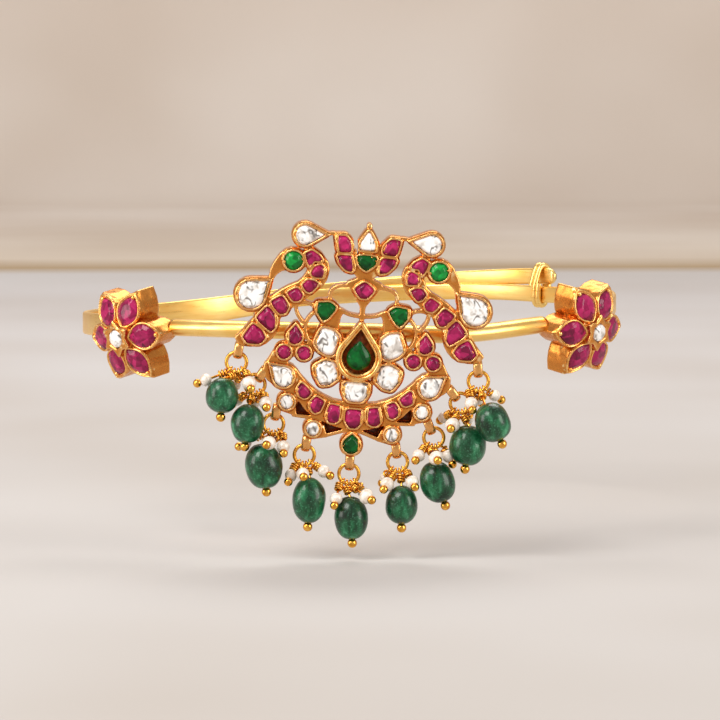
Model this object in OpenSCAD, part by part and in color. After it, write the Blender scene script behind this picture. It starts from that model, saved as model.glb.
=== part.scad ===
// Upper-arm band with a peacock and lotus pendant, two side flowers and nine bead drops.
// Millimetres. The origin is the middle of the band, +Z runs along the arm, the pendant faces -Y.

/* [Band] */
// Radius of the band to its outer face
band_radius = 46; // [44:0.5:48]
// Height of the half-round front wire
front_wire_h = 2.8; // [2.4:0.1:3.2]
// Depth of the half-round front wire
front_wire_d = 1.9; // [1.6:0.1:2.2]
// Thickness of the flat back straps
strap_t = 0.9; // [0.7:0.1:1.1]
// Width of the left strap beside its flower
left_strap_w = 3.8; // [3.4:0.1:4.2]
// Width of the right strap beside its flower
right_strap_w = 3.2; // [2.8:0.1:3.6]
// Width of both straps near their tips
strap_tip_w = 2.9; // [2.5:0.1:3.1]
// Half the distance between the middles of the straps at the right wrap
strap_split = 1.6; // [1.3:0.05:1.8]
// Rise of the right side of the band over its middle plane
band_roll = 1.8; // [0:0.05:2]
// Hand-bent twist of the band, front against back
band_twist = 1.05; // [0:0.05:1.6]
// Dip of the front wire just right of the pendant
band_dip = 0.7; // [0:0.05:1]
// Thickness of the wire wound round the two straps
wrap_wire = 1; // [0.8:0.1:1.1]

/* [Pendant] */
// Lean of the pendant to its right
pendant_lean = 4.7; // [0:0.1:6]
// Nod of the pendant's face towards the ground
pendant_nod = 4; // [0:0.5:6]
// Height on the pendant about which it leans and nods
pendant_pivot = 3.55; // [3:0.05:4]
// Height of that point over the middle of the band
pendant_lift = 0.75; // [0:0.05:1]
// Thickness of the pendant's back plate
plate_t = 0.8; // [0.6:0.1:1]
// Height of the walls between the stones, from the back
wall_top = 2.4; // [2.2:0.1:2.6]
// Height of the bezel lips round the stones, from the back
lip_top = 2.8; // [2.7:0.1:3.2]
// Width of gold round each stone
wall_w = 0.5; // [0.45:0.01:0.55]
// Width of the raised bezel lip
lip_w = 0.26; // [0.2:0.01:0.3]
// Width of the openwork wires
scroll_w = 0.48; // [0.4:0.02:0.6]
// Free play between a stone and its pocket
stone_play = 0.12; // [0.1:0.01:0.16]

/* [Flowers] */
// Place of each flower round the band, from the front
flower_place = 52; // [50:0.5:55]
// Distance from a flower's middle to its petal tips
petal_reach = 8.5; // [8:0.1:8.8]
// Width of a petal
petal_w = 4.7; // [4.4:0.1:4.9]
// Depth of the plain flower cup at the petal tips
cup_h = 3.95; // [3.6:0.05:4.3]
// Slope of the petals back from the middle
petal_slope = 15.5; // [12:0.5:17]
// Nod of the flowers towards the ground
flower_nod = 10; // [0:1:12]
// Drop of the flowers' middles below the front wire
flower_drop = 0.6; // [0:0.05:0.8]
// Turn of each flower's face towards the front, in degrees
flower_face = 7.5; // [0:0.5:8]
// Turn of the left flower about its own middle
left_flower_turn = 4.5; // [0:0.5:8]
// Turn of the right flower about its own middle
right_flower_turn = 1.5; // [0:0.5:8]

/* [Drops] */
// Radius of a jump ring to the middle of its wire
ring_r = 1.6; // [1.5:0.05:1.7]
// Radius of the jump ring's wire
ring_wire = 0.23; // [0.2:0.01:0.25]
// Radius of the pins' straight wire
pin_wire = 0.16; // [0.15:0.01:0.17]
// Radius of the small eye that holds a pin on its ring
eye_r = 0.55; // [0.52:0.01:0.6]
// Radius of the ball at the end of a bead's pin
bead_ball = 0.66; // [0.5:0.02:0.7]
// Radius of the ball at the end of a pearl's pin
pearl_ball = 0.52; // [0.4:0.02:0.55]

/* [Hidden] */

$fn = 48;

cast_gold = "#e0a045";
band_gold = "#f0c860";
wire_gold = "#f2c14e";
ruby_red = "#a01850";
emerald_green = "#0b6a30";
polki_white = "#e8e6e0";
bead_green = "#1e6a45";
pearl_cream = "#f2ece0";

gap = 0.1;

// Outlines on the pendant's face. Each corner is [across, up] from its middle line, going round.
// The second value is the share of each side that a rounded corner takes.
CORNERS = 0;
ROUND = 1;

neck_stones = [
    [[[9.85, 15.1], [8.8, 15.7], [7.6, 15.0], [6.9, 14.1], [8.4, 14.05], [9.0, 12.95], [9.5, 14.0]], 0.16],
    [[[8.75, 11.9], [8.2, 13.1], [7.1, 13.5], [6.4, 12.7], [6.55, 11.4], [8.2, 11.45]], 0.25],
    [[[9.95, 9.95], [9.15, 10.95], [8.1, 10.85], [7.25, 10.4], [8.5, 8.85], [9.2, 9.05]], 0.22],
    [[[12.3, 8.6], [10.6, 9.6], [9.65, 8.4], [10.1, 7.45], [11.1, 7.3]], 0.2],
    [[[14.8, 6.95], [12.95, 8.15], [11.7, 6.4], [12.2, 5.2], [13.2, 5.1]], 0.2],
    [[[15.1, 6.35], [16.95, 4.1], [14.2, 2.0], [13.45, 3.2], [13.6, 4.7]], 0.2],
    [[[17.25, 3.35], [18.75, 0.9], [17.9, 0.0], [15.9, 0.0], [14.95, 1.0], [15.7, 2.3]], 0.22]
];
lotus_stones = [
    [[[5.2, 18.3], [3.6, 18.4], [2.5, 17.2], [2.35, 15.9], [4.65, 15.7]], 0.2],
    [[[4.8, 15.2], [2.35, 15.35], [1.85, 13.2], [2.2, 12.7], [3.3, 12.95], [4.4, 14.1]], 0.22]
];
crescent_stones = [
    [[[3.95, -8.65], [1.95, -9.05], [2.1, -11.2], [2.9, -11.75], [3.9, -11.7], [4.5, -10.8]], 0.2],
    [[[6.25, -7.6], [4.8, -8.35], [5.5, -10.15], [6.3, -10.4], [7.2, -9.6], [7.25, -8.9]], 0.22],
    [[[8.75, -5.5], [9.45, -6.8], [9.1, -7.7], [8.2, -8.15], [7.6, -8.0], [7.0, -7.1]], 0.22]
];
petal_stones = [
    [[[3.1, 2.1], [4.4, 3.3], [6.3, 3.6], [7.35, 0.8], [6.4, -0.4], [5.1, -1.0], [3.8, -0.9]], 0.24],
    [[[3.6, -1.95], [5.3, -1.65], [7.1, -2.8], [6.8, -4.3], [5.7, -5.95], [4.2, -5.7],
      [2.75, -4.4], [3.0, -3.1]], 0.24]
];
leaf_stone = [[[4.05, 6.8], [5.2, 7.65], [7.4, 7.4], [7.5, 6.3], [6.2, 4.4], [5.4, 4.9]], 0.24];

// Stones on the middle line
kite_stone = [[[-1.7, 10.05], [0, 11.4], [1.7, 10.05], [0.6, 8.6], [-0.6, 8.6]], 0.25];
lotus_white = [[[-1.45, 16.25], [1.45, 16.25], [1.3, 17.5], [0, 19.6], [-1.3, 17.5]], 0.2];
lotus_green = [[[-1.65, 15.5], [1.65, 15.5], [1.45, 14.1], [0, 12.85], [-1.45, 14.1]], 0.3];
bottom_petal = [[[-2.05, -4.85], [2.05, -4.85], [2.2, -6.4], [1.3, -8.15], [-1.3, -8.15],
                 [-2.2, -6.4]], 0.3];
middle_crescent = [[[-1.35, -9.3], [1.35, -9.3], [1.35, -11.3], [0.6, -12.35], [-0.6, -12.35],
                    [-1.35, -11.3]], 0.22];

// Pears and rounds: [across, up, radius, tip distance, tip direction]; a tip of 0 is a round stone
PEAR_TIP = 3;
crest_pear = [10.1, 18.0, 1.65, 3.4, 175];
wing_pear = [17.9, 7.8, 2.3, 3.8, 139];
crescent_pear = [11.65, -4.95, 1.7, 3.0, 39];
trefoil_pear = [10.4, 1.65, 1.2, 1.95, 90];
trefoil_inner = [8.75, -0.87, 1.1, 0, 0];
trefoil_outer = [11.9, -0.95, 1.12, 0, 0];
eye_round = [11.6, 13.8, 1.55, 0, 0];
rim_outer = [10.8, -8.95, 1.2, 0, 0];
rim_inner = [6.3, -12.95, 1.2, 0, 0];
bottom_pear = [0, -15.1, 1.4, 1.85, 90];
emerald_stone = [0, -1.0, 2.05, 3.1, 90];
emerald_well = [0, -0.95, 2.65, 4.7, 90];
emerald_bezel = [0, -0.95, 3.65, 6.1, 90];

// Openwork wires of one side, each a curve through four guide points
scrolls = [
    [[1.9, 10.5], [3.8, 10.4], [5.8, 10.3], [5.3, 8.0]],
    [[0, 5.6], [1.2, 5.7], [2.2, 5.6], [3.3, 6.4]],
    [[10.5, 7.0], [10.8, 5.6], [10.1, 4.9], [9.2, 3.9]],
    [[7.2, 6.0], [9.4, 4.7], [9.3, 2.2], [7.6, 0.5]],
    [[7.5, 6.6], [8.7, 7.4], [9.8, 7.4], [10.9, 6.7]],
    [[5.2, 18.5], [5.8, 18.7], [6.2, 18.4], [6.9, 18.3]],
    [[0.4, -12.7], [2.2, -13.1], [3.3, -13.7], [4.6, -14.0]],
    [[6.4, -11.1], [7.5, -11.2], [8.6, -11.1], [9.8, -11.0]]
];
// Solid patches of one side: neck, crescent, beak, leaf tip and rim corners
neck = [[9.6, 15.7], [8.9, 16.0], [8.0, 15.8], [6.9, 14.9], [6.1, 13.9], [5.8, 12.9], [5.85, 12.0],
        [6.1, 11.0], [6.7, 10.0], [7.5, 9.2], [8.5, 8.5], [9.3, 7.7], [10.2, 7.0], [11.0, 6.6],
        [11.4, 5.9], [12.0, 5.1], [12.8, 4.6], [13.05, 4.0], [13.1, 3.1], [13.4, 2.0],
        [14.0, 1.0], [14.9, 0.1], [16.0, -0.4], [17.3, -0.55], [18.6, -0.5], [19.3, -0.2],
        [19.9, 0.7], [19.4, 1.2], [18.6, 2.2], [17.3, 3.9], [16.2, 5.7], [15.3, 7.3],
        [13.1, 9.0], [12.0, 9.7], [10.6, 10.4], [9.9, 11.1], [9.4, 12.0], [9.15, 12.9]];
crescent = [[-0.1, -8.5], [3.4, -8.1], [5.0, -7.5], [6.3, -6.8], [7.6, -5.8], [8.9, -4.6],
            [9.6, -3.7], [10.4, -3.0], [11.6, -2.5], [13.2, -2.3], [14.3, -2.4], [14.9, -3.2],
            [14.95, -4.6], [14.2, -5.7], [12.8, -6.6], [11.0, -7.3], [9.6, -7.6], [9.0, -8.6],
            [7.9, -9.9], [6.6, -10.9], [4.9, -11.6], [3.0, -12.3], [-0.1, -12.8]];
beak = [[12.9, 15.5], [13.9, 14.5], [14.7, 13.1], [15.1, 12.0], [15.2, 11.0], [15.3, 9.0], [14.7, 9.0],
        [14.65, 10.3], [14.1, 11.3], [13.3, 12.0], [12.0, 12.3]];
leaf_tip = [[2.95, 6.35], [4.6, 7.4], [5.4, 5.0], [4.9, 3.5], [3.6, 3.4], [3.4, 5.2]];
trefoil_side = [[12.8, -0.2], [13.6, -1.0], [14.3, -2.4], [13.2, -2.5], [12.2, -1.8]];
rim_inner_corner = [[4.6, -12.3], [4.0, -14.15], [6.3, -14.65], [6.0, -12.3]];
rim_outer_corner = [[9.3, -9.1], [9.2, -11.1], [10.9, -10.65], [10.2, -9.0]];
patches = [neck, crescent, beak, leaf_tip, trefoil_side, rim_inner_corner, rim_outer_corner];
// Patches on the middle line: kite, lotus foot and lotus tip
kite = [[-2.85, 10.95], [-1.5, 11.6], [0, 12.4], [1.5, 11.6], [2.85, 10.95], [1.5, 8.8],
        [0.4, 7.2], [0.3, 4.8], [-0.3, 4.8], [-0.4, 7.2], [-1.5, 8.8]];
lotus_foot = [[-2.3, 12.9], [2.3, 12.9], [1.3, 11.9], [-1.3, 11.9]];
lotus_tip = [0, 20.15, 0.42, 0, 0];

// Drops from left to right. Bail: [across, up, direction] on the pendant. Heights in the other
// columns are from the pendant's pivot.
// Bead: [x, y, z, width, height]. Pearls: rows of [x, y, z, radius]. Eyes: the pins' places
// on the ring, in degrees from straight down, the bead's first.
BAIL = 0;
BEAD = 1;
PEARLS = 2;
EYES = 3;
drops = [
    [[-19.05, -0.4, -95], [-22.1, -49.4, -10.5, 5.1, 5.5],
     [[-24.7, -47.6, -8.2, 0.95], [-20.1, -44.8, -9.2, 0.95], [-17.8, -50.0, -8.5, 1.1]],
     [-14, -44, 15, 44]],
    [[-14.65, -4.1, -119], [-18.1, -49.3, -15.0, 5.2, 6.0],
     [[-19.7, -45.3, -11.7, 0.9], [-16.9, -45.6, -11.9, 0.9], [-15.2, -49.6, -11.7, 1.0]],
     [-15, -44, 14, 43]],
    [[-12.25, -9.9, -97], [-15.5, -48.3, -21.9, 5.9, 6.9],
     [[-18.3, -45.4, -18.5, 0.9], [-14.7, -51.3, -17.9, 1.1], [-12.4, -49.0, -18.8, 1.0]],
     [-15, -44, 14, 43]],
    [[-7.1, -14.5, -94], [-8.3, -47.6, -27.5, 5.2, 7.1],
     [[-11.2, -48.0, -23.5, 0.95], [-9.3, -49.3, -23.1, 1.05], [-5.9, -47.8, -22.9, 0.95]],
     [14, -43, -14, 43]],
    [[0, -17.0, -89], [-1.55, -47.4, -30.4, 5.3, 6.7],
     [[-4.0, -48.6, -27.2, 1.0], [0.8, -49.6, -26.7, 1.15], [0.4, -44.9, -26.5, 0.9]],
     [-14, -43, 15, 44]],
    [[7.1, -14.5, -79], [6.5, -47.6, -28.3, 5.0, 6.0],
     [[4.2, -48.4, -24.9, 1.05], [8.15, -49.0, -24.5, 1.05], [3.9, -45.0, -24.3, 0.85]],
     [14, -15, 43, -44]],
    [[11.8, -10.35, -64], [12.2, -48.0, -24.6, 5.4, 6.6],
     [[9.2, -48.6, -20.3, 1.0], [11.8, -51.2, -20.4, 1.1], [13.95, -46.8, -20.6, 1.0]],
     [14, -44, -15, 43]],
    [[14.85, -4.9, -48], [17.0, -48.6, -18.7, 5.8, 6.2],
     [[14.5, -50.4, -15.2, 1.15], [13.4, -44.9, -14.6, 0.9], [17.3, -45.2, -14.7, 0.9]],
     [14, -15, -44, 43]],
    [[19.05, -0.4, -83], [20.8, -51.6, -14.7, 5.4, 6.1],
     [[17.5, -49.6, -11.9, 1.05], [21.4, -46.6, -10.9, 0.95], [18.9, -45.6, -11.6, 0.85]],
     [14, -44, 43, -15]]
];

// Small rules for outlines

function middle(points) = [for (k = [0:1]) let (v = [for (p = points) p[k]]) total(v) / len(v)];
function total(values, i = 0) = i < len(values) ? values[i] + total(values, i + 1) : 0;
function wound(points) = doubled_area(points) > 0 ? points : reversed(points);
function reversed(points) = [for (i = [len(points) - 1:-1:0]) points[i]];
function doubled_area(points) = let (n = len(points))
    total([for (i = [0:n - 1]) let (p = points[i], q = points[(i + 1) % n]) p[0] * q[1] - q[0] * p[1]]);
function mirrored(points) = [for (i = [len(points) - 1:-1:0]) [-points[i][0], points[i][1]]];

// A closed outline with every corner rounded by a short curve of three points
function rounded(shape) =
    let (corners = wound(shape[CORNERS]), n = len(corners), share = shape[ROUND])
    [for (i = [0:n - 1])
        let (here = corners[i], before = corners[(i + n - 1) % n], after = corners[(i + 1) % n],
             first = here + (before - here) * share, last = here + (after - here) * share)
        each [first, (first + 2 * here + last) / 4, last]];

// A round or a pear whose flanks leave the round end on tangents
function pear(p, steps = 14) =
    let (r = p[2], tip = p[PEAR_TIP], turn = p[4])
    tip == 0
        ? [for (i = [0:steps - 1]) [p[0], p[1]] + r * polar(360 * i / steps)]
        : let (open = acos(r / tip))
          concat([[p[0], p[1]] + tip * polar(turn)],
                 [for (i = [0:steps - 2])
                    [p[0], p[1]] + r * polar(turn + open + (360 - 2 * open) * i / (steps - 2))]);
function polar(a) = [cos(a), sin(a)];

// An outline drawn in towards its middle by about the given amount
function drawn_in(points, by) =
    let (c = middle(points), r = total([for (p = points) norm(p - c)]) / len(points))
    [for (p = points) c + (p - c) * (1 - by / r)];

function curve(g, t) = pow(1 - t, 3) * g[0] + 3 * t * pow(1 - t, 2) * g[1]
    + 3 * t * t * (1 - t) * g[2] + pow(t, 3) * g[3];
function curve_side(g, t) =
    let (d = curve(g, t + 0.01) - curve(g, t - 0.01)) [-d[1], d[0]] / norm(d);
function ribbon(g, w, steps = 7) = concat(
    [for (i = [0:steps]) curve(g, i / steps) + curve_side(g, i / steps) * w / 2],
    [for (i = [steps:-1:0]) curve(g, i / steps) - curve_side(g, i / steps) * w / 2]);

// A petal from its inner end to its blunt tip
function petal(inner, tip, w, steps = 6) = concat(
    [for (i = [0:steps]) petal_edge(inner, tip, w / 2, i / steps)],
    [for (i = [steps - 1:-1:1]) petal_edge(inner, tip, -w / 2, i / steps)]);
function petal_edge(inner, tip, half, t) = [inner + (tip - inner) * t, half * pow(sin(180 * pow(t, 0.95)), 0.82)];

// Every pocket outline of one side, and those on the middle line
side_pockets = concat(
    [for (s = concat(neck_stones, lotus_stones, crescent_stones, petal_stones, [leaf_stone])) rounded(s)],
    [for (p = [crest_pear, wing_pear, crescent_pear, trefoil_pear, trefoil_inner, trefoil_outer,
               eye_round, rim_outer, rim_inner]) pear(p)]);
middle_pockets = concat(
    [for (s = [kite_stone, lotus_white, lotus_green, bottom_petal, middle_crescent]) rounded(s)],
    [pear(bottom_pear)]);

// Places on the pendant and round the band

// The pendant stands on its nodded and leaned plane, whose back touches the front wire
function nodded(p) = let (y = -p[2], z = p[1] - pendant_pivot)
    [p[0], y * cos(pendant_nod) - z * sin(pendant_nod), y * sin(pendant_nod) + z * cos(pendant_nod)];
function leaned(p) = [p[0] * cos(pendant_lean) + p[2] * sin(pendant_lean), p[1],
                      -p[0] * sin(pendant_lean) + p[2] * cos(pendant_lean)];
function on_pendant(p) = leaned(nodded(p)) + [0, -band_radius - gap, pendant_lift];

module pendant_place() {
    translate([0, -band_radius - gap, pendant_lift])
        rotate([0, pendant_lean, 0])
            rotate([90 + pendant_nod, 0, 0])
                translate([0, -pendant_pivot, 0])
                    children();
}

// Azimuth 0 is the front and 90 the right side
function band_rise(a) = band_roll * sin(a) - band_twist * sin(2 * a)
    - band_dip * exp(-pow((a - 21) / 13, 2));
function band_slope(a) = atan((band_rise(a + 1) - band_rise(a - 1)) / (2 * band_radius * PI / 180));
function band_point(a, out, up) =
    [(band_radius + out) * sin(a), -(band_radius + out) * cos(a), band_rise(a) + up];
function eased(t) = let (c = min(1, max(0, t))) c * c * (3 - 2 * c);

// Shared solids

// A closed skin through rings of equal length
module skin(rings) {
    n = len(rings[0]);
    m = len(rings);
    sides = [for (j = [0:m - 2]) for (i = [0:n - 1])
        let (a = j * n + i, b = j * n + (i + 1) % n)
        each [[a, b, b + n], [a, b + n, a + n]]];
    polyhedron([for (ring = rings) each ring],
               concat(sides, [[for (i = [n - 1:-1:0]) i]], [[for (i = [0:n - 1]) (m - 1) * n + i]]));
}

// A set stone: straight girdle, sloping crown facets and a flat table
module cut_stone(outline, bottom, girdle, top, table = 0.62) {
    c = middle(outline);
    small = [for (p = outline) c + (p - c) * table];
    skin([at_height(outline, top, small), at_height(outline, girdle), at_height(outline, bottom)]);
}
function at_height(outline, z, other = []) =
    [for (p = len(other) > 0 ? other : outline) [p[0], p[1], z]];

module rod(from, to, r) {
    v = to - from;
    translate(from) rotate(aim(v)) cylinder(h = norm(v), r = r);
}
function aim(v) = [0, acos(v[2] / norm(v)), atan2(v[1], v[0])];

module torus(r, wire) {
    rotate_extrude() translate([r, 0]) circle(wire);
}

// Pendant frame

module both_sides() {
    children();
    mirror([1, 0]) children();
}

module side_shapes() {
    for (outline = side_pockets)
        offset(r = wall_w, $fn = 16) polygon(outline);
    for (guide = scrolls)
        polygon(ribbon(guide, scroll_w));
    for (patch = patches)
        polygon(patch);
}

// The whole gold outline with its openwork gaps
module frame_outline() {
    offset(delta = -0.2) offset(delta = 0.2) {
        both_sides() side_shapes();
        for (outline = middle_pockets)
            offset(r = wall_w, $fn = 16) polygon(outline);
        polygon(pear(emerald_bezel, 24));
        polygon(kite);
        polygon(lotus_foot);
        polygon(pear(lotus_tip, 10));
    }
}

all_pockets = concat(pair(side_pockets), middle_pockets);

// Sunk floors between the crescent and the round stones under it
corner_floors = [
    [[0.8, -12.6], [4.1, -14.1], [4.8, -11.8]],
    [[6.5, -10.6], [9.3, -11.05], [9.2, -9]]
];

// Everything round the lips, which is cut down to the height of the walls
module beside_lips() {
    offset(delta = 0) difference() {
        square([60, 60], center = true);
        for (outline = all_pockets)
            offset(delta = lip_w) polygon(outline);
    }
}

// A double ridge round the large emerald
module emerald_ridges() {
    translate([0, 0, wall_top - 0.4])
        linear_extrude(lip_top + 0.75 - wall_top)
            offset(delta = 0) difference() {
                offset(delta = -0.05) polygon(pear(emerald_bezel, 24));
                offset(delta = -0.38) polygon(pear(emerald_bezel, 24));
            }
    translate([0, 0, wall_top - 0.4])
        linear_extrude(lip_top + 0.55 - wall_top)
            offset(delta = 0) difference() {
                offset(delta = 0.3) polygon(pear(emerald_well, 24));
                polygon(pear(emerald_well, 24));
            }
}

bail_out = 0.95;
bail_in = 0.55;
bail_w = 1.1;
bail_run = 0.7;
bail_start = 0.62;

// A flat strip bent into a long eye, edge on to the front
module bail(place) {
    translate([place[0], place[1], lip_top / 2 - 0.02])
        rotate([0, 0, place[2]])
            rotate([90, 0, 0])
                translate([bail_start, 0, -bail_w / 2])
                    linear_extrude(bail_w)
                        polygon(concat(long_round(bail_out), long_round(bail_in)),
                                [[for (i = [0:15]) i], [for (i = [31:-1:16]) i]]);
}
function long_round(r) =
    [for (i = [0:15]) [i < 4 || i > 11 ? bail_run : 0, 0] + r * polar(22.5 * i + 11.25)];

module pendant_frame() {
    color(cast_gold) pendant_place() {
        difference() {
            union() {
                linear_extrude(lip_top) frame_outline();
                linear_extrude(plate_t) both_sides() for (floor = corner_floors) polygon(floor);
            }
            translate([0, 0, wall_top]) linear_extrude(2) beside_lips();
            for (outline = concat(all_pockets, [pear(emerald_stone, 16)]))
                translate([0, 0, plate_t]) linear_extrude(5) polygon(outline);
        }
        emerald_ridges();
        for (d = drops) bail(d[BAIL]);
    }
}

// Stones of the pendant

stone_floor = plate_t + 0.05;
girdle_top = wall_top - 0.1;
crown_top = lip_top + 0.1;

module pendant_stones(outlines, tint, table = 0.62) {
    color(tint) pendant_place()
        for (outline = outlines)
            cut_stone(drawn_in(outline, stone_play), stone_floor, girdle_top, crown_top, table);
}
function pair(outlines) = concat(outlines, [for (o = outlines) mirrored(o)]);
function left_of(outlines) = [for (o = outlines) mirrored(o)];

module center_emerald() { pendant_stones([pear(emerald_stone, 16)], emerald_green, 0.5); }
module bottom_emerald() { pendant_stones([pear(bottom_pear)], emerald_green); }
module lotus_emerald() { pendant_stones([rounded(lotus_green)], emerald_green); }
module leaf_emeralds() { pendant_stones(pair([rounded(leaf_stone)]), emerald_green); }
module eye_emeralds() { pendant_stones(pair([pear(eye_round)]), emerald_green, 0.5); }
module kite_ruby() { pendant_stones([rounded(kite_stone)], ruby_red); }
module lotus_rubies() { pendant_stones(pair([for (s = lotus_stones) rounded(s)]), ruby_red); }
module neck_rubies_left() { pendant_stones(left_of([for (s = neck_stones) rounded(s)]), ruby_red); }
module neck_rubies_right() { pendant_stones([for (s = neck_stones) rounded(s)], ruby_red); }
trefoil = [for (p = [trefoil_pear, trefoil_inner, trefoil_outer]) pear(p)];
module trefoil_rubies_left() { pendant_stones(left_of(trefoil), ruby_red, 0.5); }
module trefoil_rubies_right() { pendant_stones(trefoil, ruby_red, 0.5); }
module crescent_rubies() {
    pendant_stones(concat(pair([for (s = crescent_stones) rounded(s)]), [rounded(middle_crescent)]),
                   ruby_red);
}
module lotus_polki() { pendant_stones([rounded(lotus_white)], polki_white, 0.75); }
module crest_polki() { pendant_stones(pair([pear(crest_pear)]), polki_white, 0.75); }
module wing_polki() { pendant_stones(pair([pear(wing_pear)]), polki_white, 0.75); }
module petal_polki() {
    pendant_stones(concat(pair([for (s = petal_stones) rounded(s)]), [rounded(bottom_petal)]),
                   polki_white, 0.75);
}
module crescent_polki() { pendant_stones(pair([pear(crescent_pear)]), polki_white, 0.75); }
module rim_polki() { pendant_stones(pair([pear(rim_outer), pear(rim_inner)]), polki_white, 0.7); }

// Band

// The half-round front wire runs from cup to cup, behind the pendant
wire_end = flower_place - asin((petal_reach + 0.32) / band_radius);
wire_steps = 36;
module front_wire() {
    color(band_gold) skin([for (j = [0:wire_steps])
        let (a = wire_end - 2 * wire_end * j / wire_steps)
        [for (i = [0:10]) band_point(a, -front_wire_d + front_wire_d * sin(18 * i),
                                     front_wire_h / 2 * cos(18 * i))]]);
}

// The left strap ends beside its flower, the right one behind the other flower's back
left_root = flower_place + asin((petal_reach + 0.32) / band_radius);
right_root = flower_place + asin((petal_reach - 2.9) / band_radius);
left_wrap_at = 200;
right_wrap_at = 130;
// The left strap ends past the right wrap and the right strap past the left one
left_sweep = 360 - right_wrap_at + 4 - left_root;
right_sweep = left_wrap_at + 5 - right_root;
strap_steps = 48;
left_mid = -strap_t / 2;
right_mid = -1.5 * strap_t - gap;
edge_cut = 0.2;

// Turn is measured from the front towards the strap's own side
module strap(side, root, sweep, out, root_w, taper_from, belly) {
    color(band_gold) skin([for (j = [0:strap_steps])
        let (turn = root + sweep * j / strap_steps,
             swell = belly * strap_belly(turn),
             last = strap_steps - j,
             tip = last > 1 ? 1 : last == 1 ? 0.85 : 0.45,
             w = (root_w + (strap_tip_w - root_w) * eased((turn - taper_from) / 60) + swell) / 2 * tip,
             t = strap_t / 2 * (last > 1 ? 1 : 0.8),
             up = -side * strap_split * strap_spread(side > 0 ? turn : 360 - turn) - swell * belly_drop,
             section = [[t, w - edge_cut], [t - edge_cut, w], [edge_cut - t, w], [-t, w - edge_cut],
                        [-t, edge_cut - w], [edge_cut - t, -w], [t - edge_cut, -w], [t, edge_cut - w]])
        [for (i = [0:7]) let (p = section[side > 0 ? 7 - i : i])
            band_point(side * turn, out + p[0], up + p[1])]]);
}
// The left strap is wider and hangs a little lower where it shows beside the pendant
left_belly = 0.8;
belly_drop = 0.9;
function strap_belly(turn) = exp(-pow((turn - 143) / 22, 2));
// How far the straps have parted: none at the left wrap, wholly at the right one
function strap_spread(place) =
    place > right_wrap_at ? max(0, (left_wrap_at - place) / (left_wrap_at - right_wrap_at))
    : eased(1 - (right_wrap_at - place) / 45);
module left_strap() { strap(-1, left_root, left_sweep, left_mid, left_strap_w, 148, left_belly); }
module right_strap() { strap(1, right_root, right_sweep, right_mid, right_strap_w, 75, 0); }

wrap_hole_d = 2 * strap_t + gap + 0.25;
wrap_mid = -strap_t - gap / 2;
// Two turns of wire round both straps
module wrap(place, hole_h, lift) {
    color(band_gold)
        rotate([0, 0, place])
            translate([0, -band_radius - wrap_mid, lift + band_rise(place > 180 ? place - 360 : place)])
                rotate([0, -band_slope(place > 180 ? place - 360 : place), 0])
                    rotate([90, 0, 90])
                        for (k = [-1, 1])
                            translate([0, 0, k * wrap_wire * 0.48 - wrap_wire / 2])
                                linear_extrude(wrap_wire) wrap_turn(hole_h);
}
module wrap_turn(hole_h) {
    offset(delta = 0) difference() {
        offset(r = wrap_wire * 0.8, $fn = 16) square([wrap_hole_d, hole_h], center = true);
        square([wrap_hole_d, hole_h], center = true);
    }
}
left_wrap_belly = left_belly * strap_belly(360 - left_wrap_at);
module left_wrap() { wrap(left_wrap_at, left_strap_w + left_wrap_belly + 0.4, -belly_drop * left_wrap_belly); }
module right_wrap() { wrap(right_wrap_at, 2 * strap_split + strap_tip_w + 0.36, 0); }

// Flowers

cup_back = 44.4;
slab_t = 2.3;
petal_inner = 2.0;
rim_of_petal = 0.36;
middle_rise = cup_h + petal_reach * tan(petal_slope);
star_tip = 3;
star_valley = 1.95;
// A star with its points between the petals
star = [for (i = [0:11]) (i % 2 == 0 ? star_valley : star_tip) * polar(30 * i)];

module flower_place_at(side, turn) {
    rotate([0, 0, side * flower_place])
        translate([0, -cup_back, band_rise(side * flower_place) - flower_drop])
            rotate([0, 0, -side * flower_face])
                rotate([90 + flower_nod, 0, 0])
                    rotate([0, 0, turn])
                        children();
}
module on_petal(k) {
    rotate([0, 0, 60 * k]) translate([0, 0, middle_rise]) rotate([0, petal_slope, 0]) children();
}
module petal_prism(inset, bottom, top) {
    translate([0, 0, bottom])
        linear_extrude(top - bottom)
            polygon(petal(petal_inner + inset, petal_reach - inset * 1.8, petal_w - 2 * inset));
}
module flower_cup(side, turn) {
    color(cast_gold) flower_place_at(side, turn) difference() {
        union() {
            linear_extrude(cup_h - 0.25) offset(delta = 0) {
                circle(2.9, $fn = 24);
                for (k = [0:5]) rotate(60 * k)
                    polygon(petal(0.6, petal_reach - 0.12, petal_w - 0.14));
            }
            for (k = [0:5]) on_petal(k) petal_prism(0, -slab_t, 0);
            translate([0, 0, 1]) linear_extrude(middle_rise - 0.7) polygon(star);
        }
        for (k = [0:5]) on_petal(k) petal_prism(rim_of_petal, -1.2, 1);
        translate([0, 0, middle_rise - 0.9]) rotate(30) cylinder(h = 3, r = 1.75, $fn = 6);
    }
}
module flower_left_cup() { flower_cup(-1, left_flower_turn); }
module flower_right_cup() { flower_cup(1, right_flower_turn); }

module flower_rubies(side, turn) {
    color(ruby_red) flower_place_at(side, turn)
        for (k = [0:5]) on_petal(k)
            cut_stone(petal(petal_inner + 0.52, petal_reach - 1.02, petal_w - 0.98, 5),
                      -1.15, -0.15, 0.3, 0.6);
}
module flower_left_rubies() { flower_rubies(-1, left_flower_turn); }
module flower_right_rubies() { flower_rubies(1, right_flower_turn); }

module flower_polki(side, turn) {
    color(polki_white) flower_place_at(side, turn)
        translate([0, 0, middle_rise])
            cut_stone([for (i = [0:9]) 1.34 * polar(36 * i)], -0.85, 0.2, 0.5, 0.6);
}
module flower_left_polki() { flower_polki(-1, left_flower_turn); }
module flower_right_polki() { flower_polki(1, right_flower_turn); }

// Drops

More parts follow.
